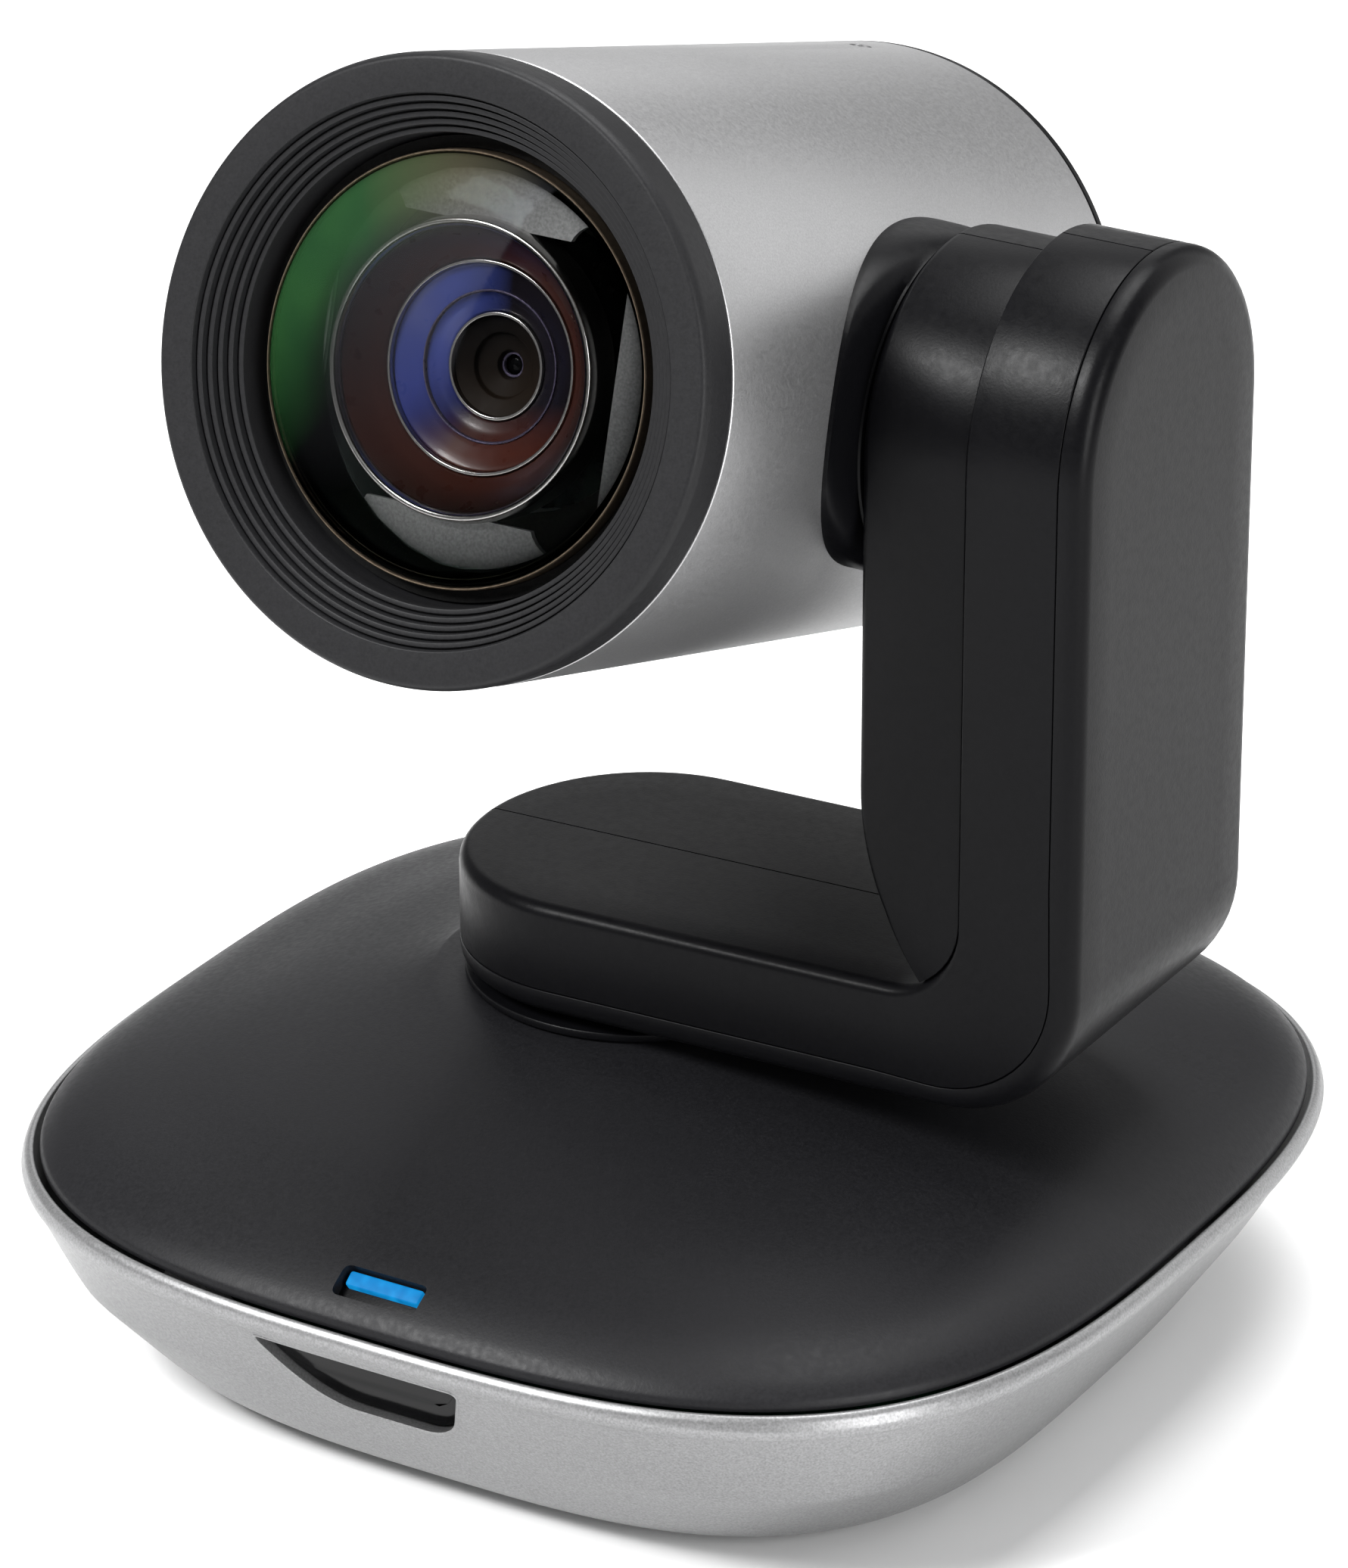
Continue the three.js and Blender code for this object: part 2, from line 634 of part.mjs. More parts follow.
// The arm's outline seen from above: a round end about the pan axis.
function planOutline(half) {
  const shape = new THREE.Shape();
  shape.moveTo(PAN_X, -half);
  shape.lineTo(ARM_OUTER_X + 5, -half);
  shape.lineTo(ARM_OUTER_X + 5, half);
  shape.lineTo(PAN_X, half);
  shape.absarc(PAN_X, 0, half, Math.PI / 2, 1.5 * Math.PI);
  return shape;
}

function armBlock(inset) {
  const half = ARM_HALF - inset;
  return common(
    extrudeY(armProfile(inset), -half, half, 10),
    extrudeX(sideOutline(half, ARM_ROUND_Z, ARM_RISE - inset, 30), -40, 70, 24),
    extrudeZ(planOutline(half), 30, TILT_Z + 40, 16),
  );
}

// The band that the outer cover takes from the arm: down the outside, round the corner and along
// the foot's underside.
function coverBand(thick) {
  const slope = rad(FOOT_SLOPE);
  const left = -40;
  const right = ARM_OUTER_X + 5;
  const cornerX = ARM_OUTER_X - ARM_OUTER_CORNER;
  const cornerZ = ARM_BOTTOM_Z + ARM_OUTER_CORNER;
  const corner = ARM_OUTER_CORNER - thick;
  const floor = cornerZ - corner / Math.cos(slope) - (cornerX - left) * Math.tan(slope);
  const shape = new THREE.Shape();
  shape.moveTo(left, ARM_BOTTOM_Z - 10);
  shape.lineTo(right, ARM_BOTTOM_Z - 10);
  shape.lineTo(right, TILT_Z + 40);
  shape.lineTo(ARM_OUTER_X - thick, TILT_Z + 40);
  shape.absarc(cornerX, cornerZ, corner, 0, -Math.PI / 2 + slope, true);
  shape.lineTo(left, floor);
  shape.closePath();
  return extrudeY(shape, -40, 40, 10);
}

const ARM_MOTOR_R = 9;
const SHELL_HEIGHT = 200; // higher than the arm, for the blocks that halve it
const TILT_PINION_Z = TILT_Z - (TILT_MODULE * (TILT_GEAR_TEETH + TILT_PINION_TEETH)) / 2;

const WIRE_R = 6; // the wires rise through the turntable into the foot

// Everything in front of the parting plane, or behind it.
function halfSpace(front) {
  const low = front ? -40 : GAP / 2;
  const high = front ? -GAP / 2 : 40;
  return box(-80, low, 0, 80, high, SHELL_HEIGHT);
}

function armShell(front) {
  const side = halfSpace(front);
  const wires = rodZ(WIRE_R, PAN_X, 0, 38, 50, 32);
  const motorWindow = box(40, -11, TILT_Z - 32, 49, 11, TILT_Z + 8);
  const skin = cut(armBlock(0), coverBand(COVER_THICK + GAP));
  const hollow = cut(armBlock(WALL), coverBand(COVER_THICK + GAP + WALL));
  return common(cut(skin, hollow, wires, motorWindow), side);
}

function armOuterCover() {
  const wires = rodZ(WIRE_R, PAN_X, 0, 38, 50, 32);
  return cut(common(armBlock(0), coverBand(COVER_THICK)), wires);
}

add(camera, 'turntable', turntable(), BLACK);
add(camera, 'pan_gear', panGear(), GEAR_WHITE);
add(camera, 'arm_front_shell', armShell(true), BLACK);
add(camera, 'arm_rear_shell', armShell(false), BLACK);
add(camera, 'arm_outer_cover', armOuterCover(), BLACK);

// ---------------------------------------------------------------- arm: tilt housing

// The housing as seen from the front: its lower corner sweeps into the arm's inside corner.
function housingProfile(inset) {
  const left = HOUSING_INNER_X + inset;
  const right = ARM_INNER_X - GAP;
  const sweepZ = ARM_TOP_Z + 22;
  const sweepX = HOUSING_INNER_X + HOUSING_SWEEP;
  const sweepR = HOUSING_SWEEP - inset;
  const endAngle = Math.PI + Math.acos((sweepX - right) / sweepR);
  const shape = new THREE.Shape();
  shape.moveTo(right, TILT_Z + 30);
  shape.lineTo(left, TILT_Z + 30);
  shape.lineTo(left, sweepZ);
  shape.absarc(sweepX, sweepZ, sweepR, Math.PI, endAngle);
  shape.closePath();
  return shape;
}

function housingBlock(inset) {
  const half = HOUSING_HALF - inset;
  return common(
    extrudeY(housingProfile(inset), -half, half, 16),
    extrudeX(sideOutline(half, HOUSING_ROUND_Z, HOUSING_RISE - inset, 30), 20, 50, 24),
  );
}

function housingShell(front) {
  const side = halfSpace(front);
  const bearingSeat = rodX(10 + GAP, 30, 36.2, 0, TILT_Z, 40);
  const hollow = common(housingBlock(WALL), box(20, -40, 0, 60, 40, 200));
  const openHalf = HOUSING_HALF - WALL;
  const open = box(ARM_INNER_X - GAP - 1, -openHalf, TILT_Z - 30, 60, openHalf, TILT_Z);
  const corner = armBlock(-GAP);
  return common(cut(housingBlock(0), hollow, open, bearingSeat, corner), side);
}

function tiltMotor() {
  const can = rodX(ARM_MOTOR_R, TILT_GEAR_X + TILT_GEAR_W + 1.2, 52.6, 0, TILT_PINION_Z, 32);
  const boss = rodX(2.6, TILT_GEAR_X + TILT_GEAR_W + 0.7, 46, 0, TILT_PINION_Z, 20);
  return joined(can, boss);
}

// Gears lie in the YZ plane; the wheel has a tooth pointing down, the pinion a space pointing up.
function tiltPinion() {
  const shape = gearShape(TILT_PINION_TEETH, TILT_MODULE, 0, false);
  const pinion = extrudeX(shape, TILT_GEAR_X - 0.4, TILT_GEAR_X + TILT_GEAR_W + 0.4);
  pinion.rotateX(Math.PI / 2);
  return moved(pinion, 0, 0, TILT_PINION_Z);
}

add(camera, 'tilt_front_shell', housingShell(true), BLACK);
add(camera, 'tilt_rear_shell', housingShell(false), BLACK);
add(camera, 'tilt_bearing', ringX(10, SHAFT_R + GAP, HOUSING_INNER_X + 0.2, 36, 0, TILT_Z), STEEL);
add(camera, 'tilt_motor', tiltMotor(), DARK_METAL);
add(camera, 'tilt_pinion', tiltPinion(), BRASS);

// ---------------------------------------------------------------- head (in its own frame)

function barrel() {
  const back = CAP_BACK_Y - CAP_THICK - GAP;
  const tube = ringY(BARREL_R, BARREL_BORE, BARREL_FRONT_Y, back, 0, 0, BARREL_SEGMENTS);
  const sideOpening = box(24, -16, -12, 40, 16, 12);
  const screwHole = rodZ(1.4, 0, 32, 26, 40, 16);
  return cut(tube, sideOpening, screwHole);
}

// The front ring: a narrow chamfer, a flat face, and steps down to the glass.
function frontBezel() {
  const profile = [
    [24.4, -41], [29.4, -41], [29.4, BARREL_FRONT_Y - GAP], [BARREL_R, BARREL_FRONT_Y - GAP],
    [BARREL_R, BEZEL_FRONT_Y + 0.6], [BARREL_R - 0.5, BEZEL_FRONT_Y], [27.9, BEZEL_FRONT_Y],
  ];
  const steps = 4;
  const stepWidth = 1.05;
  const stepDrop = 0.85;
  for (let i = 0; i < steps; i += 1) {
    const r = 27.9 - i * stepWidth;
    const y = BEZEL_FRONT_Y + 0.7 + i * stepDrop;
    profile.push([r, y], [r - stepWidth, y]);
  }
  profile.push([23.7, -43], [24.4, -41]);
  return latheY(points(profile), BARREL_SEGMENTS);
}

function rearCap() {
  const disc = latheY(points([
    [0, CAP_BACK_Y - CAP_THICK], [BARREL_R, CAP_BACK_Y - CAP_THICK], [BARREL_R, CAP_BACK_Y - 0.5],
    [BARREL_R - 0.6, CAP_BACK_Y], [0, CAP_BACK_Y],
  ]), BARREL_SEGMENTS);
  const collarR = BARREL_BORE - GAP;
  const collarEnd = CAP_BACK_Y - CAP_THICK + 0.2;
  const collar = ringY(collarR, collarR - 1.7, 36, collarEnd, 0, 0, BARREL_SEGMENTS);
  return joined(disc, collar);
}

// The barrel's boss: an oval saddle on the tube's side, with a plug that fills the side opening.
function saddlePlate() {
  const oval = new THREE.Shape();
  oval.absellipse(0, 0.4, SADDLE_HALF_Y, SADDLE_HALF_Z, 0, 2 * Math.PI);
  const pad = cut(
    extrudeX(oval, 22, SADDLE_FACE_X - HEAD_X, 24),
    rodY(BARREL_R + GAP, 0, 0, -60, 60, BARREL_SEGMENTS),
  );
  const plug = box(28.6, -16 + GAP, -12 + GAP, SADDLE_FACE_X - HEAD_X - 0.1, 16 - GAP, 12 - GAP);
  return cut(joined(pad, plug), rodX(SHAFT_R + GAP, 20, 40, 0, 0, 40));
}

function tiltShaft() {
  const tube = ringX(SHAFT_R, SHAFT_BORE, 27.4, TILT_GEAR_X + TILT_GEAR_W - HEAD_X, 0, 0);
  const flange = ringX(10, SHAFT_BORE, 25.9, 28.2, 0, 0);
  return joined(tube, flange);
}

function tiltGear() {
  const shape = gearShape(TILT_GEAR_TEETH, TILT_MODULE, SHAFT_R + GAP, true);
  const gear = extrudeX(shape, TILT_GEAR_X - HEAD_X, TILT_GEAR_X + TILT_GEAR_W - HEAD_X, 24);
  gear.rotateX(-Math.PI / 2 + rad(REST_TILT));
  return gear;
}

add(head, 'barrel', barrel(), SILVER);
add(head, 'front_bezel', frontBezel(), CHARCOAL);
add(head, 'rear_cap', rearCap(), BLACK);
add(head, 'saddle_plate', saddlePlate(), BLACK);
add(head, 'tilt_shaft', tiltShaft(), STEEL);
add(head, 'tilt_gear', tiltGear(), GEAR_WHITE);
add(head, 'top_screw', rodZ(1.1, 0, 32, 29, 31.6, 16), DARK_METAL);

// ---------------------------------------------------------------- lens, from the front to the sensor

function lensTube() {
  const profile = points([
    [22.6, 26], [20.8, 26], [20.8, -41.2], [22.6, -41.2], [22.6, 26],
  ]);
  return latheY(profile, 36);
}

// The domed front element, thick at its middle.
function frontGlass() {
  const profile = [[0, GLASS_Y + 1.6]];
  const rings = 5;
  const rise = 4.6;
  profile.push([GLASS_R - 0.6, GLASS_Y + 1.6], [GLASS_R - 0.6, GLASS_Y + 0.2]);
  for (let i = 1; i <= rings; i += 1) {
    const angle = (i / rings) * (Math.PI / 2);
    const r = (GLASS_R - 0.6) * Math.cos(angle);
    profile.push([i === rings ? 0 : r, GLASS_Y + 0.2 - rise * Math.sin(angle)]);
  }
  return latheY(points(profile), 40);
}

// A round plate with a rectangular window whose corners are rounded off.
function lensMask() {
  const halfWidth = 16.8;
  const halfHeight = 15;
  const corner = 6.5;
  const shape = new THREE.Shape();
  shape.absarc(0, 0, 20.4, 0, 2 * Math.PI);
  shape.holes.push(roundedRect(-halfWidth, -halfHeight, halfWidth, halfHeight, corner));
  return extrudeY(shape, -42.6, -41.8, 8);
}

function lensDisc(r, y, thick, bulge) {
  const profile = points([
    [0, y - bulge], [r * 0.55, y - bulge * 0.72], [r * 0.85, y - bulge * 0.3], [r, y],
    [r, y + thick], [0, y + thick],
  ]);
  return latheY(profile, 28);
}

// A lens mount: a ring with a narrower seat behind the glass.
function lensMount(outer, bore, y, length) {
  return latheY(points([
    [bore, y], [outer, y], [outer, y + length], [bore - 2, y + length],
    [bore - 2, y + length - 1.2], [bore, y + length - 1.2], [bore, y],
  ]), 32);
}

const ZOOM_Y = -31; // front of the zoom group's mount at the wide end
const FOCUS_Y = 2; // front of the focus group's mount at its near end
const GROUP_OUTER = 20.2; // both mounts slide in the lens tube

add(head, 'lens_tube', lensTube(), BLACK);
add(head, 'glass_ring', ringY(23.3, GLASS_R, GLASS_Y - 0.5, GLASS_Y + 1.9, 0, 0, 40), DARK_METAL);
add(head, 'front_glass', frontGlass(), GLASS);
add(head, 'lens_mask', lensMask(), BLACK);
add(head, 'zoom_mount', lensMount(GROUP_OUTER, 15.3, ZOOM_Y, 8), DARK_METAL);
add(head, 'zoom_lens', lensDisc(15, ZOOM_Y + 2.4, 3.8, 2.2), GLASS);
add(head, 'focus_mount', lensMount(GROUP_OUTER, 9.3, FOCUS_Y, 6), DARK_METAL);
add(head, 'focus_lens', lensDisc(9, FOCUS_Y + 1.6, 2.6, 1.4), GLASS);
add(head, 'sensor_board', box(-18, 27, -14, 18, 28.6, 14), BOARD);
add(head, 'image_sensor', box(-4.5, 25.4, -4, 4.5, 26.7, 4), GLOSS_BLACK);

export default camera;
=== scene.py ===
"""Looks of a desktop pan-tilt-zoom camera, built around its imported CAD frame.

Shapes are written in millimetres and become metres as each mesh is made. +Z is up and the front faces -Y.
The head's pieces are written in the head's own frame: the tilt axis at the origin, the lens towards -Y.
"""

import json
import math

import bmesh
import bpy
from mathutils import Matrix, Vector


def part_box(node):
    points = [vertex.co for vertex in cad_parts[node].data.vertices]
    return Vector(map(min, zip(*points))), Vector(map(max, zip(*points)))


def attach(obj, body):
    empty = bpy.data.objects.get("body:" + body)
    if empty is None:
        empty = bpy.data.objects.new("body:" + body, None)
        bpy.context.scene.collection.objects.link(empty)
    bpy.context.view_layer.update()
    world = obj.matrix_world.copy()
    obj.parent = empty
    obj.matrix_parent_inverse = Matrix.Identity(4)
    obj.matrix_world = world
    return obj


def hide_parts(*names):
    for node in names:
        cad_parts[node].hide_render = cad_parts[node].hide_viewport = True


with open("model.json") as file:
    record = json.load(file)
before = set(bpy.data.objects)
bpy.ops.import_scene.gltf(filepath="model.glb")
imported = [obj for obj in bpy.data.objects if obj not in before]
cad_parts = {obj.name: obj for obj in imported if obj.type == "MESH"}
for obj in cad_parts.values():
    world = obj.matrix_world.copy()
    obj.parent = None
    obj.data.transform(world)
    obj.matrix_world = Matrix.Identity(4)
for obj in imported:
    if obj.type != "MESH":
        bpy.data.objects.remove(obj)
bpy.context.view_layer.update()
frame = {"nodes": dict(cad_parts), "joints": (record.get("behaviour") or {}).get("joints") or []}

MM = 0.001
TAU = 2 * math.pi


def span(node):
    """The lowest and highest corners of a CAD node, in millimetres."""
    low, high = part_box(node)
    return low / MM, high / MM


# ---------------------------------------------------------------- sizes taken from the frame

JOINTS = {joint["name"]: joint for joint in frame["joints"]}
TRAY_LOW, TRAY_HIGH = span("base_tray")
_, COVER_HIGH = span("base_cover")
_, TURN_HIGH = span("turntable")
_, OUTER_HIGH = span("arm_outer_cover")
SHELL_LOW, SHELL_HIGH = span("arm_front_shell")
HOUSE_LOW, HOUSE_HIGH = span("tilt_front_shell")
BARREL_LOW, BARREL_HIGH = span("barrel")

PLATE_Z = TRAY_LOW.z
RIM_Z = TRAY_HIGH.z
DISH_HALF = TRAY_HIGH.x
COVER_HALF = COVER_HIGH.x
HUB_Z = COVER_HIGH.z
PAN_X = JOINTS["pan"]["pos_m"][0] / MM
TURNTABLE_R = TURN_HIGH.x - PAN_X
TILT_Z = JOINTS["tilt"]["pos_m"][2] / MM
ARM_OUTER_X = OUTER_HIGH.x
ARM_HALF = -SHELL_LOW.y
HOUSING_X = HOUSE_LOW.x
HOUSING_HALF = -HOUSE_LOW.y
ARM_TOP = SHELL_HIGH.z
HOUSING_TOP = HOUSE_HIGH.z
TURNTABLE_TOP = TURN_HIGH.z
BARREL_R = (BARREL_HIGH.x - BARREL_LOW.x) / 2
HEAD_X = (BARREL_HIGH.x + BARREL_LOW.x) / 2

# ---------------------------------------------------------------- sizes of the shapes themselves

GAP = 0.3  # between pieces of the CAD model
HUB_R = 22.5  # the cover is round inside this radius
ARM_TOP_Z = 56.4  # top of the foot where it meets the inside corner
ARM_BOTTOM_Z = 43.5  # underside of the foot where it meets the outside corner
FOOT_RISE = math.tan(math.radians(1.5))  # the foot climbs from its round end to the corner
ARM_ROUND_Z = 115.6  # middle of the arm's round top
HOUSING_ROUND_Z = 115
ARM_INNER_X = 45.2
ARM_OUTER_CORNER = 16
ARM_INNER_CORNER = 9
COVER_THICK = 3
SEAM = 0.1  # hairline between the cover and the shells
HOUSING_SWEEP = 32  # radius of the curve under the housing
REST_TILT = 16
BEZEL_FRONT_Y = -50.7
BARREL_FRONT_Y = -45.3
CAP_BACK_Y = 42.6
CAP_THICK = 1.7
GLASS_R = 22.3
GLASS_Y = -45.2
WINDOW_MIDDLE = (-2.1, 16.8)
BASE_SEGMENTS = 256
ROUND_SEGMENTS = 160

HEAD = Matrix.Translation((HEAD_X, 0, TILT_Z)) @ Matrix.Rotation(-math.radians(REST_TILT), 4, "X")

# ---------------------------------------------------------------- curves


def rounded(points, radius, steps=4, closed=False):
    """The polyline with its corners rounded. radius is one number or one for each point."""
    count = len(points)
    sizes = radius if isinstance(radius, (list, tuple)) else [radius] * count
    line = []
    for i, point in enumerate(points):
        here = Vector(point)
        ends = not closed and i in (0, count - 1)
        if ends or sizes[i] == 0:
            line.append(tuple(here))
            continue
        before = Vector(points[i - 1]) - here
        after = Vector(points[(i + 1) % count]) - here
        length = min(sizes[i], before.length * 0.48, after.length * 0.48)
        start = here + before.normalized() * length
        end = here + after.normalized() * length
        for k in range(steps + 1):
            t = k / steps
            line.append(tuple(start * (1 - t) ** 2 + here * 2 * t * (1 - t) + end * t * t))
    return line


def smooth_line(points, steps=6):
    """A smooth curve through the points."""
    line = []
    last = len(points) - 1
    for i in range(last):
        a = Vector(points[max(i - 1, 0)])
        b = Vector(points[i])
        c = Vector(points[i + 1])
        d = Vector(points[min(i + 2, last)])
        for k in range(steps):
            t = k / steps
            line.append(tuple(0.5 * (
                2 * b + (c - a) * t + (2 * a - 5 * b + 4 * c - d) * t ** 2 + (3 * b - a - 3 * c + d) * t ** 3
            )))
    line.append(tuple(points[last]))
    return line


def reach(angle, power):
    """How far a rounded square of unit half width goes in a direction."""
    return (abs(math.cos(angle)) ** power + abs(math.sin(angle)) ** power) ** (-1 / power)


# ---------------------------------------------------------------- meshes


def loft(rings, wrap_ring=True, wrap_loft=True, caps=False):
    """Corner points and faces of a skin over rings of the same length."""
    count = len(rings[0])
    points = [p for ring in rings for p in ring]
    faces = []
    for i in range(len(rings) if wrap_loft else len(rings) - 1):
        j = (i + 1) % len(rings)
        for k in range(count if wrap_ring else count - 1):
            m = (k + 1) % count
            faces.append((i * count + k, i * count + m, j * count + m, j * count + k))
    if caps:
        faces.append(tuple(range(count)))
        faces.append(tuple(range((len(rings) - 1) * count, len(rings) * count)))
    return points, faces


def turned(profile, axis, segments=ROUND_SEGMENTS, middle=(0, 0, 0)):
    """A closed profile of (radius, height) pairs turned about an axis."""
    rings = []
    for r, h in profile:
        ring = []
        for k in range(segments):
            c = r * math.cos(k * TAU / segments)
            s = r * math.sin(k * TAU / segments)
            place = {"X": (h, c, s), "Y": (c, h, s), "Z": (c, s, h)}[axis]
            ring.append(tuple(p + m for p, m in zip(place, middle)))
        rings.append(ring)
    return loft(rings)


def new_object(name, points, faces, place=None):
    """A mesh object in metres, with doubled points merged and its faces outwards."""
    mesh = bpy.data.meshes.new(name)
    matrix = place or Matrix.Identity(4)
    mesh.from_pydata([matrix @ Vector(p) * MM for p in points], [], faces)
    work = bmesh.new()
    work.from_mesh(mesh)
    bmesh.ops.remove_doubles(work, verts=work.verts, dist=2e-6)
    bmesh.ops.dissolve_degenerate(work, edges=work.edges, dist=1e-7)
    bmesh.ops.recalc_face_normals(work, faces=work.faces)
    work.to_mesh(mesh)
    work.free()
    thing = bpy.data.objects.new(name, mesh)
    bpy.context.scene.collection.objects.link(thing)
    return thing


def shade(thing, angle=32):
    """Smooth shading, but for edges sharper than the angle in degrees."""
    thing.data.polygons.foreach_set("use_smooth", [True] * len(thing.data.polygons))
    thing.data.set_sharp_from_angle(angle=math.radians(angle))


def baked(thing):
    """The object with its modifiers made part of its mesh."""
    graph = bpy.context.evaluated_depsgraph_get()
    made = bpy.data.meshes.new_from_object(thing.evaluated_get(graph))
    thing.modifiers.clear()
    thing.data = made
    return thing


def carve(thing, *cutters):
    """Cuts the other objects out of this one, and removes them."""
    for cutter in cutters:
        modifier = thing.modifiers.new("cut", "BOOLEAN")
        modifier.object = cutter
        modifier.solver = "EXACT"
        modifier.operation = "DIFFERENCE"
    baked(thing)
    for cutter in cutters:
        bpy.data.objects.remove(cutter)
    return thing


def halved(thing, name, front):
    """The part of a piece in front of or behind the parting plane, closed again."""
    edge = -GAP / 3 if front else GAP / 3
    work = bmesh.new()
    work.from_mesh(thing.data)
    normal = (0, 1, 0) if front else (0, -1, 0)
    everything = work.verts[:] + work.edges[:] + work.faces[:]
    bmesh.ops.bisect_plane(
        work, geom=everything, dist=1e-7, plane_co=(0, edge * MM, 0), plane_no=normal, clear_outer=True
    )
    bmesh.ops.holes_fill(work, edges=[e for e in work.edges if e.is_boundary], sides=0)
    bmesh.ops.recalc_face_normals(work, faces=work.faces)
    mesh = bpy.data.meshes.new(name)
    work.to_mesh(mesh)
    work.free()
    half = bpy.data.objects.new(name, mesh)
    bpy.context.scene.collection.objects.link(half)
    return half


def raised(outline, axis, h):
    """A flat outline at a height along an axis: drawn in XZ for Y, in YZ for X, and in XY for Z."""
    return [{"X": (h, u, v), "Y": (u, h, v), "Z": (u, v, h)}[axis] for u, v in outline]


def prism(outline, axis, low, high, place=None, name="prism"):
    """A flat outline run along an axis."""
    rings = [raised(outline, axis, low), raised(outline, axis, high)]
    points, faces = loft(rings, wrap_loft=False, caps=True)
    return new_object(name, points, faces, place)


def edged_prism(outline, axis, low, high, edge, place=None, name="prism", steps=3):
    """A prism whose two ends have rounded edges. The outline runs round a convex shape."""
    def inset(distance):
        count = len(outline)
        line = []
        for i in range(count):
            here = Vector(outline[i])
            along = (Vector(outline[(i + 1) % count]) - Vector(outline[i - 1])).normalized()
            line.append(here + Vector((-along.y, along.x)) * distance)
        return line

    rings = []
    for side in (0, 1):
        for k in range(steps + 1):
            angle = (k if side == 0 else steps - k) / steps * math.pi / 2
            line = inset(edge * (1 - math.sin(angle)))
            depth = edge * (1 - math.cos(angle))
            h = low + depth if side == 0 else high - depth
            rings.append(raised(line, axis, h))
    points, faces = loft(rings, wrap_loft=False, caps=True)
    return new_object(name, points, faces, place)


def rectangle(x0, y0, x1, y1, radius, steps=5):
    """A rectangle with rounded corners, anticlockwise."""
    return rounded([(x0, y0), (x1, y0), (x1, y1), (x0, y1)], radius, steps, closed=True)


def circle(r, segments=48, u=0, v=0):
    """A circle's points, anticlockwise."""
    return [(u + r * math.cos(k * TAU / segments), v + r * math.sin(k * TAU / segments)) for k in range(segments)]


# ---------------------------------------------------------------- materials


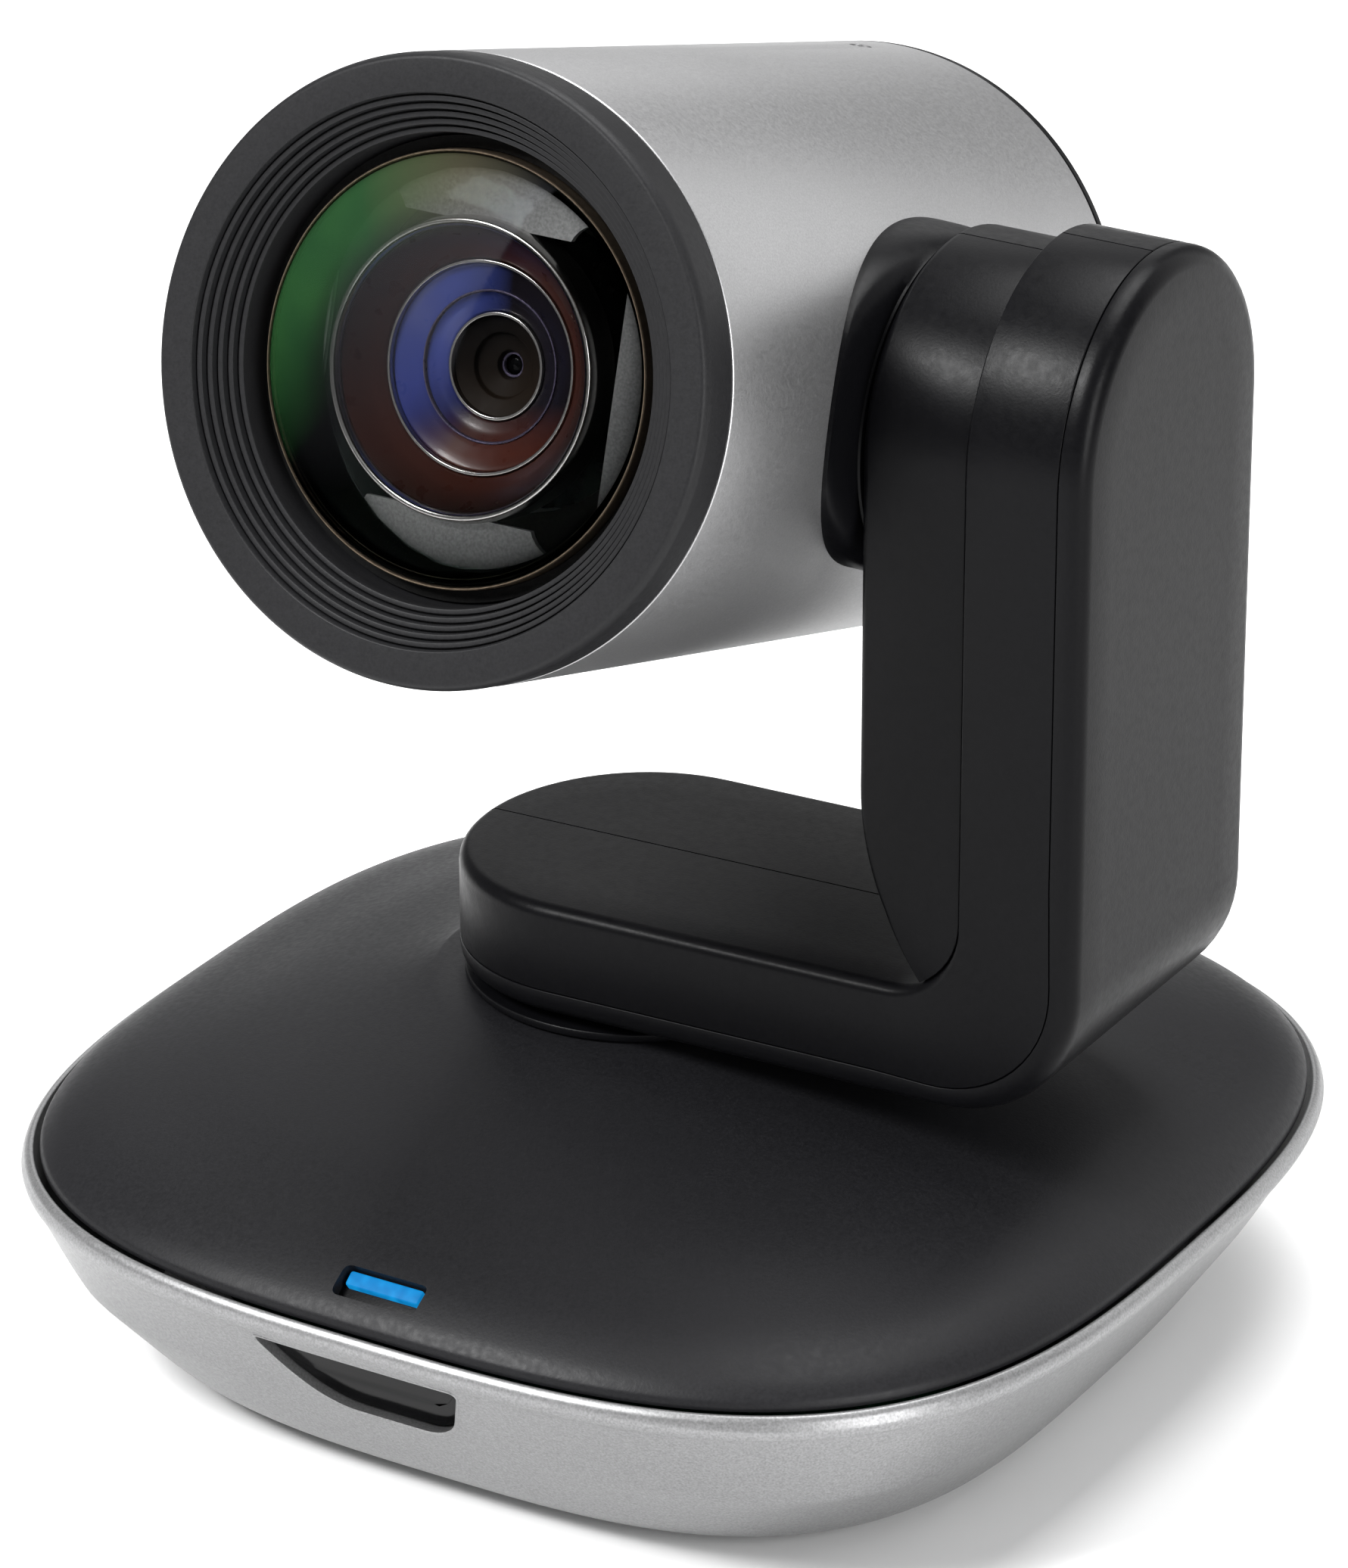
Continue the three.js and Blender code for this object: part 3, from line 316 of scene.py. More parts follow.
class Paint:
    """A procedural material: a Principled shader with grain in its colour, roughness and bump."""

    def __init__(self, name, color, roughness, metallic=0.0, specular=0.5, coat=0.0, coat_roughness=0.1):
        self.label = name
        self.material = bpy.data.materials.new(name + "_look")
        self.material.use_nodes = True
        self.tree = self.material.node_tree
        self.shader = self.tree.nodes["Principled BSDF"]
        self.color = color
        self.roughness = roughness
        self.shader.inputs["Base Color"].default_value = (*color, 1)
        self.shader.inputs["Roughness"].default_value = roughness
        self.shader.inputs["Metallic"].default_value = metallic
        self.shader.inputs["Specular IOR Level"].default_value = specular
        self.shader.inputs["Coat Weight"].default_value = coat
        self.shader.inputs["Coat Roughness"].default_value = coat_roughness
        self.place = self.tree.nodes.new("ShaderNodeTexCoord").outputs["Object"]

    def node(self, kind, **inputs):
        """A new node with its inputs linked or set."""
        made = self.tree.nodes.new(kind)
        for key, value in inputs.items():
            socket = made.inputs[key.replace("_", " ")]
            if isinstance(value, bpy.types.NodeSocket):
                self.tree.links.new(value, socket)
            else:
                socket.default_value = value
        return made

    def noise(self, size_mm, detail=3.0, stretch=None):
        """Noise whose grains are about size_mm across, optionally stretched along an axis."""
        place = self.place
        if stretch:
            mapping = self.node("ShaderNodeMapping", Vector=place)
            mapping.inputs["Scale"].default_value = stretch
            place = mapping.outputs[0]
        made = self.node("ShaderNodeTexNoise", Vector=place, Scale=1 / (size_mm * MM), Detail=detail)
        return made.outputs["Fac"]

    def ramp(self, factor, low, high):
        """The factor spread from low..high to 0..1."""
        made = self.node("ShaderNodeMapRange", Value=factor)
        made.inputs["From Min"].default_value = low
        made.inputs["From Max"].default_value = high
        return made.outputs[0]

    def blend(self, factor, a, b):
        """A colour between a and b, each a colour or a socket."""
        made = self.tree.nodes.new("ShaderNodeMix")
        made.data_type = "RGBA"
        self.tree.links.new(factor, made.inputs[0])
        for socket, value in ((made.inputs[6], a), (made.inputs[7], b)):
            if isinstance(value, bpy.types.NodeSocket):
                self.tree.links.new(value, socket)
            else:
                socket.default_value = (*value, 1)
        return made.outputs[2]

    def grain(self, size_mm, contrast, drift=0.12, drift_mm=25):
        """Speckles of the base colour, over a slow drift of tone."""
        dark = tuple(c * (1 - contrast) for c in self.color)
        light = tuple(min(1, c * (1 + contrast)) for c in self.color)
        speckle = self.blend(self.ramp(self.noise(size_mm, 2.0), 0.32, 0.68), dark, light)
        # The speckle multiplied by a slow random drift of tone.
        drifted_speckle = self.tree.nodes.new("ShaderNodeMix")
        drifted_speckle.data_type = "RGBA"
        drifted_speckle.blend_type = "MULTIPLY"
        tone = self.blend(self.ramp(self.noise(drift_mm, 2.0), 0.3, 0.7), (1 - drift,) * 3, (1, 1, 1))
        drifted_speckle.inputs[0].default_value = 1
        self.tree.links.new(speckle, drifted_speckle.inputs[6])
        self.tree.links.new(tone, drifted_speckle.inputs[7])
        self.tree.links.new(drifted_speckle.outputs[2], self.shader.inputs["Base Color"])
        return self

    def worn(self, size_mm, spread):
        """Roughness that varies by spread either side of its value."""
        made = self.node("ShaderNodeMapRange", Value=self.noise(size_mm, 4.0))
        made.inputs["From Min"].default_value = 0.3
        made.inputs["From Max"].default_value = 0.7
        made.inputs["To Min"].default_value = max(0.02, self.roughness - spread)
        made.inputs["To Max"].default_value = min(1, self.roughness + spread)
        self.tree.links.new(made.outputs[0], self.shader.inputs["Roughness"])
        return self

    def bumpy(self, size_mm, height_mm, detail=3.0, stretch=None):
        """A fine relief in the normals."""
        made = self.node("ShaderNodeBump", Height=self.noise(size_mm, detail, stretch), Strength=1.0)
        made.inputs["Distance"].default_value = height_mm * MM
        self.tree.links.new(made.outputs[0], self.shader.inputs["Normal"])
        return self


SILVER = Paint("silver_paint", (0.262, 0.263, 0.266), 0.40, metallic=0.72).grain(0.26, 0.17, 0.05).worn(0.5, 0.05)
SILVER.bumpy(0.24, 0.012, 2.0)
ALUMINIUM = Paint("satin_aluminium", (0.40, 0.40, 0.405), 0.40, metallic=0.9).grain(0.2, 0.09, 0.05)
ALUMINIUM.worn(0.5, 0.04).bumpy(0.22, 0.008, 2.0)
CHARCOAL = Paint("charcoal_plastic", (0.0085, 0.0085, 0.0098), 0.46, specular=0.20).grain(0.35, 0.16).worn(0.7, 0.05)
CHARCOAL.bumpy(0.3, 0.016)
BLACK = Paint("black_satin", (0.0028, 0.0028, 0.0034), 0.34, specular=0.085).grain(0.4, 0.14).worn(0.9, 0.04)
BLACK.bumpy(0.3, 0.011)
BEZEL = Paint("bezel_plastic", (0.011, 0.011, 0.012), 0.48, specular=0.18).grain(0.3, 0.14).worn(0.6, 0.05)
BEZEL.bumpy(0.28, 0.012)
GLOSS = Paint("gloss_black", (0.0012, 0.0012, 0.0015), 0.12, specular=0.04).grain(2.0, 0.25).worn(8, 0.02)
GLOSS.bumpy(6, 0.004)
RUBBER = Paint("rubber", (0.014, 0.014, 0.014), 0.82, specular=0.25).grain(0.5, 0.2).worn(1.0, 0.08).bumpy(0.5, 0.05)
STEEL = Paint("steel", (0.48, 0.48, 0.49), 0.3, metallic=1).grain(0.5, 0.08).worn(1.2, 0.08)
STEEL.bumpy(0.4, 0.006, 2.0, (1, 1, 0.1))
DARK_METAL = Paint("dark_metal", (0.05, 0.048, 0.046), 0.34, metallic=0.85).grain(0.4, 0.12).worn(0.8, 0.06)
DARK_METAL.bumpy(0.3, 0.006)
RIM_METAL = Paint("warm_rim_metal", (0.30, 0.235, 0.17), 0.42, metallic=1).grain(0.3, 0.1).worn(0.6, 0.05)
CHROME = Paint("chrome_ring", (0.46, 0.45, 0.44), 0.2, metallic=1).grain(0.4, 0.08).worn(0.6, 0.03).bumpy(0.4, 0.003)
BRASS = Paint("brass", (0.46, 0.31, 0.11), 0.28, metallic=1).grain(0.5, 0.1).worn(0.8, 0.07).bumpy(0.4, 0.006)
NYLON = Paint("gear_plastic", (0.62, 0.59, 0.50), 0.42).grain(0.8, 0.05).worn(1.5, 0.06).bumpy(0.6, 0.01)
INK = Paint("lens_black", (0.004, 0.004, 0.004), 0.6, specular=0.1).grain(0.3, 0.3).worn(0.8, 0.08).bumpy(0.25, 0.02)
BAFFLE = Paint("baffle_black", (0.17, 0.173, 0.172), 0.5, specular=0.3).grain(0.3, 0.2).worn(0.8, 0.08)
BAFFLE.bumpy(0.3, 0.006, 2.0, (0.25, 1, 1))


def board_paint():
    """Green solder mask with paler copper runs under it."""
    paint = Paint("circuit_board", (0.01, 0.09, 0.035), 0.35, specular=0.5).worn(2, 0.08)
    runs = paint.node("ShaderNodeTexBrick", Vector=paint.place, Scale=260.0)
    runs.inputs["Mortar Size"].default_value = 0.012
    runs.inputs["Color1"].default_value = (0.008, 0.075, 0.03, 1)
    runs.inputs["Color2"].default_value = (0.010, 0.085, 0.034, 1)
    runs.inputs["Mortar"].default_value = (0.03, 0.17, 0.07, 1)
    paint.tree.links.new(runs.outputs["Color"], paint.shader.inputs["Base Color"])
    return paint.bumpy(0.8, 0.01)


def light_paint():
    """A blue light bar whose glow varies in soft patches."""
    paint = Paint("light_blue", (0.0, 0.03, 0.10), 0.5, specular=0.08).grain(0.6, 0.08).bumpy(0.5, 0.004)
    glow = paint.blend(paint.ramp(paint.noise(1.6, 1.0), 0.3, 0.7), (0.002, 0.14, 0.36), (0.006, 0.24, 0.54))
    paint.tree.links.new(glow, paint.shader.inputs["Emission Color"])
    paint.shader.inputs["Emission Strength"].default_value = 1.15
    return paint


class LensPaint(Paint):
    """A paint whose colour follows the place on the lens, in the head's own millimetres, for the lens's painted
    reflections and shading.
    """

    def __init__(self, name, color, roughness, **looks):
        super().__init__(name, color, roughness, **looks)
        mapping = self.tree.nodes.new("ShaderNodeMapping")
        mapping.vector_type = "TEXTURE"
        mapping.inputs["Location"].default_value = (HEAD_X * MM, 0, TILT_Z * MM)
        mapping.inputs["Rotation"].default_value = (-math.radians(REST_TILT), 0, 0)
        mapping.inputs["Scale"].default_value = (MM, MM, MM)
        self.tree.links.new(self.place, mapping.inputs["Vector"])
        apart = self.node("ShaderNodeSeparateXYZ", Vector=mapping.outputs[0])
        self.x, self.z = apart.outputs["X"], apart.outputs["Z"]

    def math(self, operation, a, b=0.0):
        made = self.tree.nodes.new("ShaderNodeMath")
        made.operation = operation
        for socket, value in zip(made.inputs, (a, b)):
            if isinstance(value, bpy.types.NodeSocket):
                self.tree.links.new(value, socket)
            else:
                socket.default_value = value
        return made.outputs[0]

    def slant(self, across, up):
        """A measure that grows along a direction in the lens's plane."""
        return self.math("ADD", self.math("MULTIPLY", self.x, across), self.math("MULTIPLY", self.z, up))

    def radius(self):
        square = self.math("ADD", self.math("MULTIPLY", self.x, self.x), self.math("MULTIPLY", self.z, self.z))
        return self.math("SQRT", square)

    def colored(self, color):
        self.tree.links.new(color, self.shader.inputs["Base Color"])
        return self


def lens_paints():
    """The coated elements: maroon, sapphire and umber, each with its own sheen. Their colours are painted
    reflections of the lights in the coatings, and painted shading, that change across the lens.
    """
    # Maroon painted reflection, darker towards the element's rim.
    maroon = LensPaint("maroon_painted_reflection", (0.03, 0.012, 0.009), 0.3, specular=0.15, coat=0.08)
    rim = maroon.ramp(maroon.radius(), 12.2, 14.6)
    body = maroon.blend(rim, (0.042, 0.012, 0.008), (0.012, 0.005, 0.004))
    side = maroon.ramp(maroon.slant(-1.0, -0.3), 2, 14)
    maroon.colored(maroon.blend(side, body, (0.034, 0.012, 0.009))).worn(2, 0.04).bumpy(0.8, 0.004)
    # Sapphire painted reflection: blue towards the upper left and brightest at the top, dark on the right with a
    # reddish patch lower down.
    sapphire = LensPaint("sapphire_painted_reflection", (0.01, 0.012, 0.05), 0.3, specular=0.2, coat=0.1)
    left = sapphire.ramp(sapphire.slant(-1.0, 0.25), 0.5, 7)
    top = sapphire.ramp(sapphire.slant(-0.3, 1.0), -6, 9)
    low = sapphire.blend(sapphire.ramp(sapphire.slant(0.2, -1), 4, 9), (0.006, 0.005, 0.007), (0.055, 0.014, 0.009))
    blue = sapphire.blend(top, (0.007, 0.011, 0.09), (0.060, 0.090, 0.37))
    sapphire.colored(sapphire.blend(left, low, blue)).worn(2, 0.04).bumpy(0.8, 0.004)
    # Umber painted shading: a little lighter towards the lower right.
    umber = LensPaint("umber_painted_shading", (0.012, 0.009, 0.007), 0.55, specular=0.05)
    lift = umber.ramp(umber.slant(-0.4, 1.0), -4, 5)
    umber.colored(umber.blend(lift, (0.009, 0.006, 0.004), (0.004, 0.0036, 0.0036))).worn(1, 0.05).bumpy(0.5, 0.004)
    return maroon, sapphire, umber


def coated_glass():
    """The front element: clear glass with real Fresnel gloss, with a green reflection towards one side and a faint
    pale softbox reflection beyond a curved edge painted in as diffuse colour.
    """
    glass = LensPaint("front_glass_with_painted_reflections", (0.95, 0.96, 0.95), 0.03)
    tree = glass.tree
    # Painted reflection: the green one lies in a crescent near the rim, towards the upper left.
    place = glass.slant(-0.85, 0.62)
    aside = glass.math("SUBTRACT", glass.x, 2.2)
    far = glass.math("SQRT", glass.math(
        "ADD", glass.math("MULTIPLY", aside, aside), glass.math("MULTIPLY", glass.z, glass.z),
    ))
    outside = glass.math("MULTIPLY", glass.ramp(far, 14.0, 18.5), glass.ramp(place, 6, 21))
    green = glass.math("MULTIPLY", outside, 0.5)
    # Painted reflection: the pale softbox one covers the glass beyond a curved edge, stronger towards the top.
    bend = glass.math("MULTIPLY", glass.math("MULTIPLY", glass.math("ADD", glass.z, 4.0), 0.012),
                      glass.math("ADD", glass.z, 4.0))
    beyond = glass.math("SUBTRACT", glass.math("ADD", bend, 2.2), glass.x)
    softbox_reflection_mask = glass.math("MULTIPLY", glass.ramp(beyond, 0.0, 0.5), glass.ramp(glass.slant(-0.2, 1.0), -12, 20))
    cloud = glass.ramp(glass.noise(9, 2.0), 0.2, 0.8)
    out = tree.nodes["Material Output"]
    clear = tree.nodes.new("ShaderNodeBsdfTransparent")
    green_reflection_bsdf = tree.nodes.new("ShaderNodeBsdfDiffuse")
    softbox_reflection_bsdf = tree.nodes.new("ShaderNodeBsdfDiffuse")
    mirror = tree.nodes.new("ShaderNodeBsdfGlossy")
    edge = tree.nodes.new("ShaderNodeFresnel")
    mirror.inputs["Roughness"].default_value = 0.03
    mirror.inputs["Color"].default_value = (0.012, 0.015, 0.014, 1)
    edge.inputs["IOR"].default_value = 1.5
    softbox_reflection_bsdf.inputs["Color"].default_value = (0.55, 0.56, 0.62, 1)
    # The painted green reflection's colour: patchy, turning olive towards the upper right.
    green_reflection_tint = glass.blend(cloud, (0.004, 0.060, 0.010), (0.020, 0.11, 0.020))
    warm = glass.ramp(glass.slant(0.9, 0.55), -3, 10)
    tree.links.new(glass.blend(warm, green_reflection_tint, (0.11, 0.10, 0.045)), green_reflection_bsdf.inputs["Color"])
    last = clear.outputs[0]
    # Layered over the clear glass: the painted green reflection, the faint painted softbox reflection, then the real
    # Fresnel gloss.
    for factor, layer in ((green, green_reflection_bsdf), (glass.math("MULTIPLY", softbox_reflection_mask, 0.020), softbox_reflection_bsdf), (edge.outputs[0], mirror)):
        mix = tree.nodes.new("ShaderNodeMixShader")
        tree.links.new(factor, mix.inputs[0])
        tree.links.new(last, mix.inputs[1])
        tree.links.new(layer.outputs[0], mix.inputs[2])
        last = mix.outputs[0]
    tree.links.new(last, out.inputs["Surface"])
    tree.nodes.remove(glass.shader)
    return glass


BOARD = board_paint()
LIGHT = light_paint()
FRONT_GLASS = coated_glass()
MAROON, SAPPHIRE, UMBER = lens_paints()
VIOLET = Paint("violet_ring", (0.07, 0.06, 0.10), 0.3, metallic=0.6).grain(0.3, 0.1).worn(0.4, 0.06)


def finished(thing, body, paint, *nodes, slot=None, angle=32):
    """Gives a piece its material and shading, sets what it rides on and hides the CAD nodes it stands for."""
    thing.data.materials.clear()
    thing.data.materials.append(paint.material)
    shade(thing, angle)
    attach(thing, body)
    if nodes:
        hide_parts(*nodes)
    return thing


def piece(name, shape, body, paint, *nodes, place=None, slot=None, angle=32):
    """A finished piece from its points and faces."""
    return finished(new_object(name, *shape, place), body, paint, *nodes, slot=slot, angle=angle)


# ---------------------------------------------------------------- base: dish, cover, window and light

DISH_WALL = [(49.4, 1.6), (50.9, 2.6), (52.6, 4.4), (55.3, 8.5), (58.2, 13), (61.2, 17.8), (64.0, 22.2)]


def dish_ring(z, _):
    """A ring's squareness and sideways shift. The dish's corners are fullest half way down."""
    middle = 12
    return 3.0 + 0.7 * max(0, 1 - abs(z - middle) / middle), 0


def cover_ring(_, r):
    """The cover's rings turn from the rim's rounded square into circles about the pan axis."""
    inwards = min(1, max(0, (COVER_HALF - r) / (COVER_HALF - HUB_R)))
    return 3 - inwards ** 0.8, PAN_X * inwards ** 4 + 12 * inwards * (1 - inwards)


def square_rings(profile, ring):
    """Rounded squares for each (half width, height) of the profile, with the squareness that ring gives."""
    rings = []
    for r, z in profile:
        power, shift = ring(z, r)
        around = []
        for k in range(BASE_SEGMENTS):
            angle = k * TAU / BASE_SEGMENTS
            far = r * reach(angle, power)
            around.append((far * math.cos(angle) + shift, far * math.sin(angle), z))
        rings.append(around)
    return rings


def wall_radius(z):
    """Half width of the dish's outer wall at a height."""
    line = smooth_line(DISH_WALL)
    for (r0, z0), (r1, z1) in zip(line, line[1:]):
        if z0 <= z <= z1:
            return r0 + (r1 - r0) * (z - z0) / (z1 - z0)
    return line[0][0] if z < line[0][1] else line[-1][0]


def on_wall(x, z, out):
    """The point of the dish's front wall at x and z, moved out by a distance."""
    power, _ = dish_ring(z, 0)
    r = wall_radius(z) + out
    return x, -((r ** power - abs(x) ** power) ** (1 / power)), z


WINDOW = [(-6.6, 12.3), (4.6, 12.3), (7.4, 14.2), (10.1, 20.4), (10.0, 20.9), (-14.4, 20.9), (-14.3, 20.3),
          (-12.4, 16.8), (-9.6, 13.7)]
WINDOW_CORNERS = [2.0, 1.8, 1.6, 0.4, 0.4, 0.4, 0.5, 2.0, 2.0]


def window_outline(grow, steps=4):
    """The infrared window's outline seen from the front, made larger by a distance all round."""
    line = rounded(WINDOW, WINDOW_CORNERS, steps, closed=True)
    count = len(line)
    grown = []
    for i in range(count):
        along = (Vector(line[(i + 1) % count]) - Vector(line[i - 1])).normalized()
        grown.append((line[i][0] + along.y * grow, line[i][1] - along.x * grow))
    return grown


def make_dish():
    """The silver dish with its bright rim, opened for the window, the ports and the screws."""
    inner = [
        (63.75, 24.1), (62.9, 22.7), (59.4, 18.4), (53.7, 9.4), (50.9, 5.5), (36.8, 5.5), (36.8, 3.5), (44, 3.5),
    ]
    profile = [(44, PLATE_Z), *rounded([(44.0, PLATE_Z), (48.4, PLATE_Z), DISH_WALL[0]], 0.6)[1:-1]]
    profile += smooth_line(DISH_WALL)
    profile += rounded(
        [(64.0, 22.2), (64.45, 22.45), (DISH_HALF, 23.5), (64.75, 24.5), (64.2, RIM_Z), (63.8, RIM_Z - 0.1),
         inner[0]],
        [0, 0.12, 0.5, 0.4, 0.25, 0.15, 0], 3,
    )[1:]
    profile += inner[1:]
    dish = new_object("dish", *loft(square_rings(profile, dish_ring)))
    window = prism(window_outline(0.22), "Y", -70, -46)
    ports = prism(rectangle(-27, 8.5, 27, 20.5, 1.2), "Y", 46, 70)
    holes = [prism(circle(1.4, 16, x, y), "Z", 3, 7) for x in (-31, 31) for y in (-31, 31)]
    carve(dish, window, ports, *holes)
    return finished(dish, "base", SILVER, "base_tray", slot="silver_dish")


def make_window_bead():
    """The bright chamfer round the infrared window."""
    ways = [(0.62, -0.05), (0.5, 0.10), (0.32, 0.10), (0.16, -0.04), (0.12, -1.9), (0.6, -1.9)]
    rings = []
    for grow, out in ways:
        rings.append([on_wall(x, z, out) for x, z in window_outline(grow)])
    return piece("window_bead", loft(rings), "base", SILVER, slot="silver_dish")


def make_window():
    """The pane follows the wall's curve: rings from its edge to a narrow strip along its middle."""
    edge = window_outline(-0.05)
    middle_x, middle_z = WINDOW_MIDDLE
    back_out = -2.5
    front_out = -1.28
    strip = 0.96
    back = [on_wall(middle_x + (x - middle_x) * 0.75, z + (middle_z - z) * strip, back_out) for x, z in edge]
    rings = [back, [on_wall(x, z, back_out) for x, z in edge], [on_wall(x, z, -1.5) for x, z in edge]]
    for inset, out in ((0.10, -1.36), (0.28, front_out)):
        rings.append([on_wall(x, z, out) for x, z in window_outline(-0.05 - inset)])
    for share in (0.25, 0.5, 0.75, strip):
        ring = []
        for x, z in window_outline(-0.33):
            shrunk = middle_x + (x - middle_x) * (1 - 0.25 * share)
            ring.append(on_wall(shrunk, z + (middle_z - z) * share, front_out))
        rings.append(ring)
    points, faces = loft(rings, wrap_loft=False, caps=True)
    return piece("window_pane", (points, faces), "base", GLOSS, "infrared_window", angle=50)


LIGHT_PLACE = (
    Matrix.Translation((-1.0, -59.6, 28.7)) @ Matrix.Rotation(math.radians(36), 4, "X")
)


def make_cover():
    """The domed cover with the hole for the turntable and the pocket for the light."""
    outer = [
        (63.3, 24.9), (63.25, 25.5), (62.9, 26.2), (61.4, 27.6), (58.4, 29.4), (53.6, 31.4), (46, 34.2),
        (36, 36.9), (27, 38.9), (20.6, HUB_Z),
    ]
    inner = [
        (17.1, HUB_Z), (17.1, 38), (20.5, 38), (20.5, 31.5), (HUB_R, 31.5), (HUB_R, 37.2), (35.6, 34.8),
        (45.4, 32), (52.4, 29.4), (58.6, 26.6), (60.6, 24.9),
    ]
    profile = smooth_line(outer, 5) + inner
    cover = new_object("cover", *loft(square_rings(profile, cover_ring)))
    pocket = prism(rectangle(-5.1, -1.9, 5.1, 1.9, 0.9), "Z", -6, 6, LIGHT_PLACE)
    carve(cover, pocket)
    return finished(cover, "base", CHARCOAL, "base_cover")


def make_light():
    """The light bar and the dark well it lies in."""
    bar = edged_prism(rectangle(-4.5, -0.2, 4.5, 1.5, 0.35), "Z", -4.0, -0.7, 0.2, LIGHT_PLACE, "status_bar")
    finished(bar, "base", LIGHT, "status_light")
    well = edged_prism(rectangle(-5.3, -2.1, 5.3, 2.1, 0.9), "Z", -2.6, -1.6, 0.1, LIGHT_PLACE, "status_well")
    finished(well, "base", BLACK)


make_dish()
make_window_bead()
make_window()
make_cover()
make_light()

# ---------------------------------------------------------------- arm: turntable, shells and outer cover

piece("turntable_ring", turned(
    rounded([(6, 21.8), (16.5, 21.8), (16.5, HUB_Z + GAP), (TURNTABLE_R, HUB_Z + GAP),
             (TURNTABLE_R, TURNTABLE_TOP), (6, TURNTABLE_TOP)], [0, 0, 0, 0.2, 0.2, 0], 3),
    "Z", middle=(PAN_X, 0, 0),
), "arm", BLACK, "turntable")

EDGE_STEPS = 5
ARC_STEPS = 40


def slab(name, first, second, half, edges, rise=None, round_start=True):
    """A strip with round ends between two curves seen from the front, with its edges rounded.

    first and second are the matching (x, z) points of the two curves. edges gives the edge radius along each
    curve, as a function of how far along it a point is from 0 to 1. rise is how far the round top stands out.
    """
    last = len(first) - 1
    stretch = (rise or half) / half

    def point(side, s, inset, depth, angle):
        here, other = (first, second) if side == 0 else (second, first)
        a = Vector(here[s])
        b = Vector(other[s])
        away = b - a
        spot = a + (away.normalized() * depth if away.length > 1e-6 else away)
        r = half - inset
        if angle is None:
            return spot.x, r, spot.y
        beyond = r * math.cos(angle)
        if s == last:
            return spot.x, r * math.sin(angle), spot.y + beyond * stretch
        return spot.x + beyond, r * math.sin(angle), spot.y + beyond * FOOT_RISE

    def ring(side, inset_of, depth_of):
        made = []
        for s in range(last):
            x, y, z = point(side, s, inset_of(s), depth_of(s), None)
            made.append((x, y, z))
        for k in range(ARC_STEPS + 1):
            angle = math.pi / 2 - k * math.pi / ARC_STEPS
            made.append(point(side, last, inset_of(last), depth_of(last), angle))
        for s in range(last - 1, -1, -1):
            x, y, z = point(side, s, inset_of(s), depth_of(s), None)
            made.append((x, -y, z))
        if round_start:
            for k in range(1, ARC_STEPS):
                angle = -math.pi / 2 - k * math.pi / ARC_STEPS
                made.append(point(side, 0, inset_of(0), depth_of(0), angle))
        return made

    rings = []
    for side in (0, 1):
        edge = edges[side]
        these = []
        for share in (1, 0.75, 0.5, 0.25):
            these.append(ring(
                side, lambda s: edge(s / last) + (half - edge(s / last)) * share, lambda s: 0
            ))
        for k in range(EDGE_STEPS + 1):
            angle = k / EDGE_STEPS * math.pi / 2
            these.append(ring(
                side,
                lambda s: edge(s / last) * (1 - math.sin(angle)),
                lambda s: edge(s / last) * (1 - math.cos(angle)),
            ))
        rings += these if side == 0 else these[::-1]
    points, faces = loft(rings, wrap_ring=round_start, wrap_loft=False)
    thing = new_object(name, points, faces)
    work = bmesh.new()
    work.from_mesh(thing.data)
    bmesh.ops.holes_fill(work, edges=[e for e in work.edges if e.is_boundary], sides=0)
    bmesh.ops.recalc_face_normals(work, faces=work.faces)
    work.to_mesh(thing.data)
    work.free()
    return thing


def arm_curves(steps=14):
    """The arm's outer and inner curves from the foot's round end to the round top, as matching points."""
    outer_middle = (ARM_OUTER_X - ARM_OUTER_CORNER, ARM_BOTTOM_Z + ARM_OUTER_CORNER)
    inner_middle = (ARM_INNER_X - ARM_INNER_CORNER, ARM_TOP_Z + ARM_INNER_CORNER)
    slope = math.atan(FOOT_RISE)
    outer = [(x, ARM_BOTTOM_Z + (x - outer_middle[0]) * FOOT_RISE) for x in (PAN_X, 6, 18, 28, 36)]
    inner = [(x, ARM_TOP_Z + (x - inner_middle[0]) * FOOT_RISE) for x in (PAN_X, 6, 17, 26, 33)]
    for k in range(steps + 1):
        angle = slope + k / steps * (math.pi / 2 - slope)
        for line, middle, r in (
            (outer, outer_middle, ARM_OUTER_CORNER), (inner, inner_middle, ARM_INNER_CORNER),
        ):
            line.append((middle[0] + r * math.sin(angle), middle[1] - r * math.cos(angle)))
    for height in (72, 88, 100, ARM_ROUND_Z):
        outer.append((ARM_OUTER_X, height))
        inner.append((ARM_INNER_X, height))
    return outer, inner


def towards(first, second, depth):
    """The first curve moved towards the second by a depth."""
    made = []
    for a, b in zip(first, second):
        made.append(tuple(Vector(a) + (Vector(b) - Vector(a)).normalized() * depth))
    return made


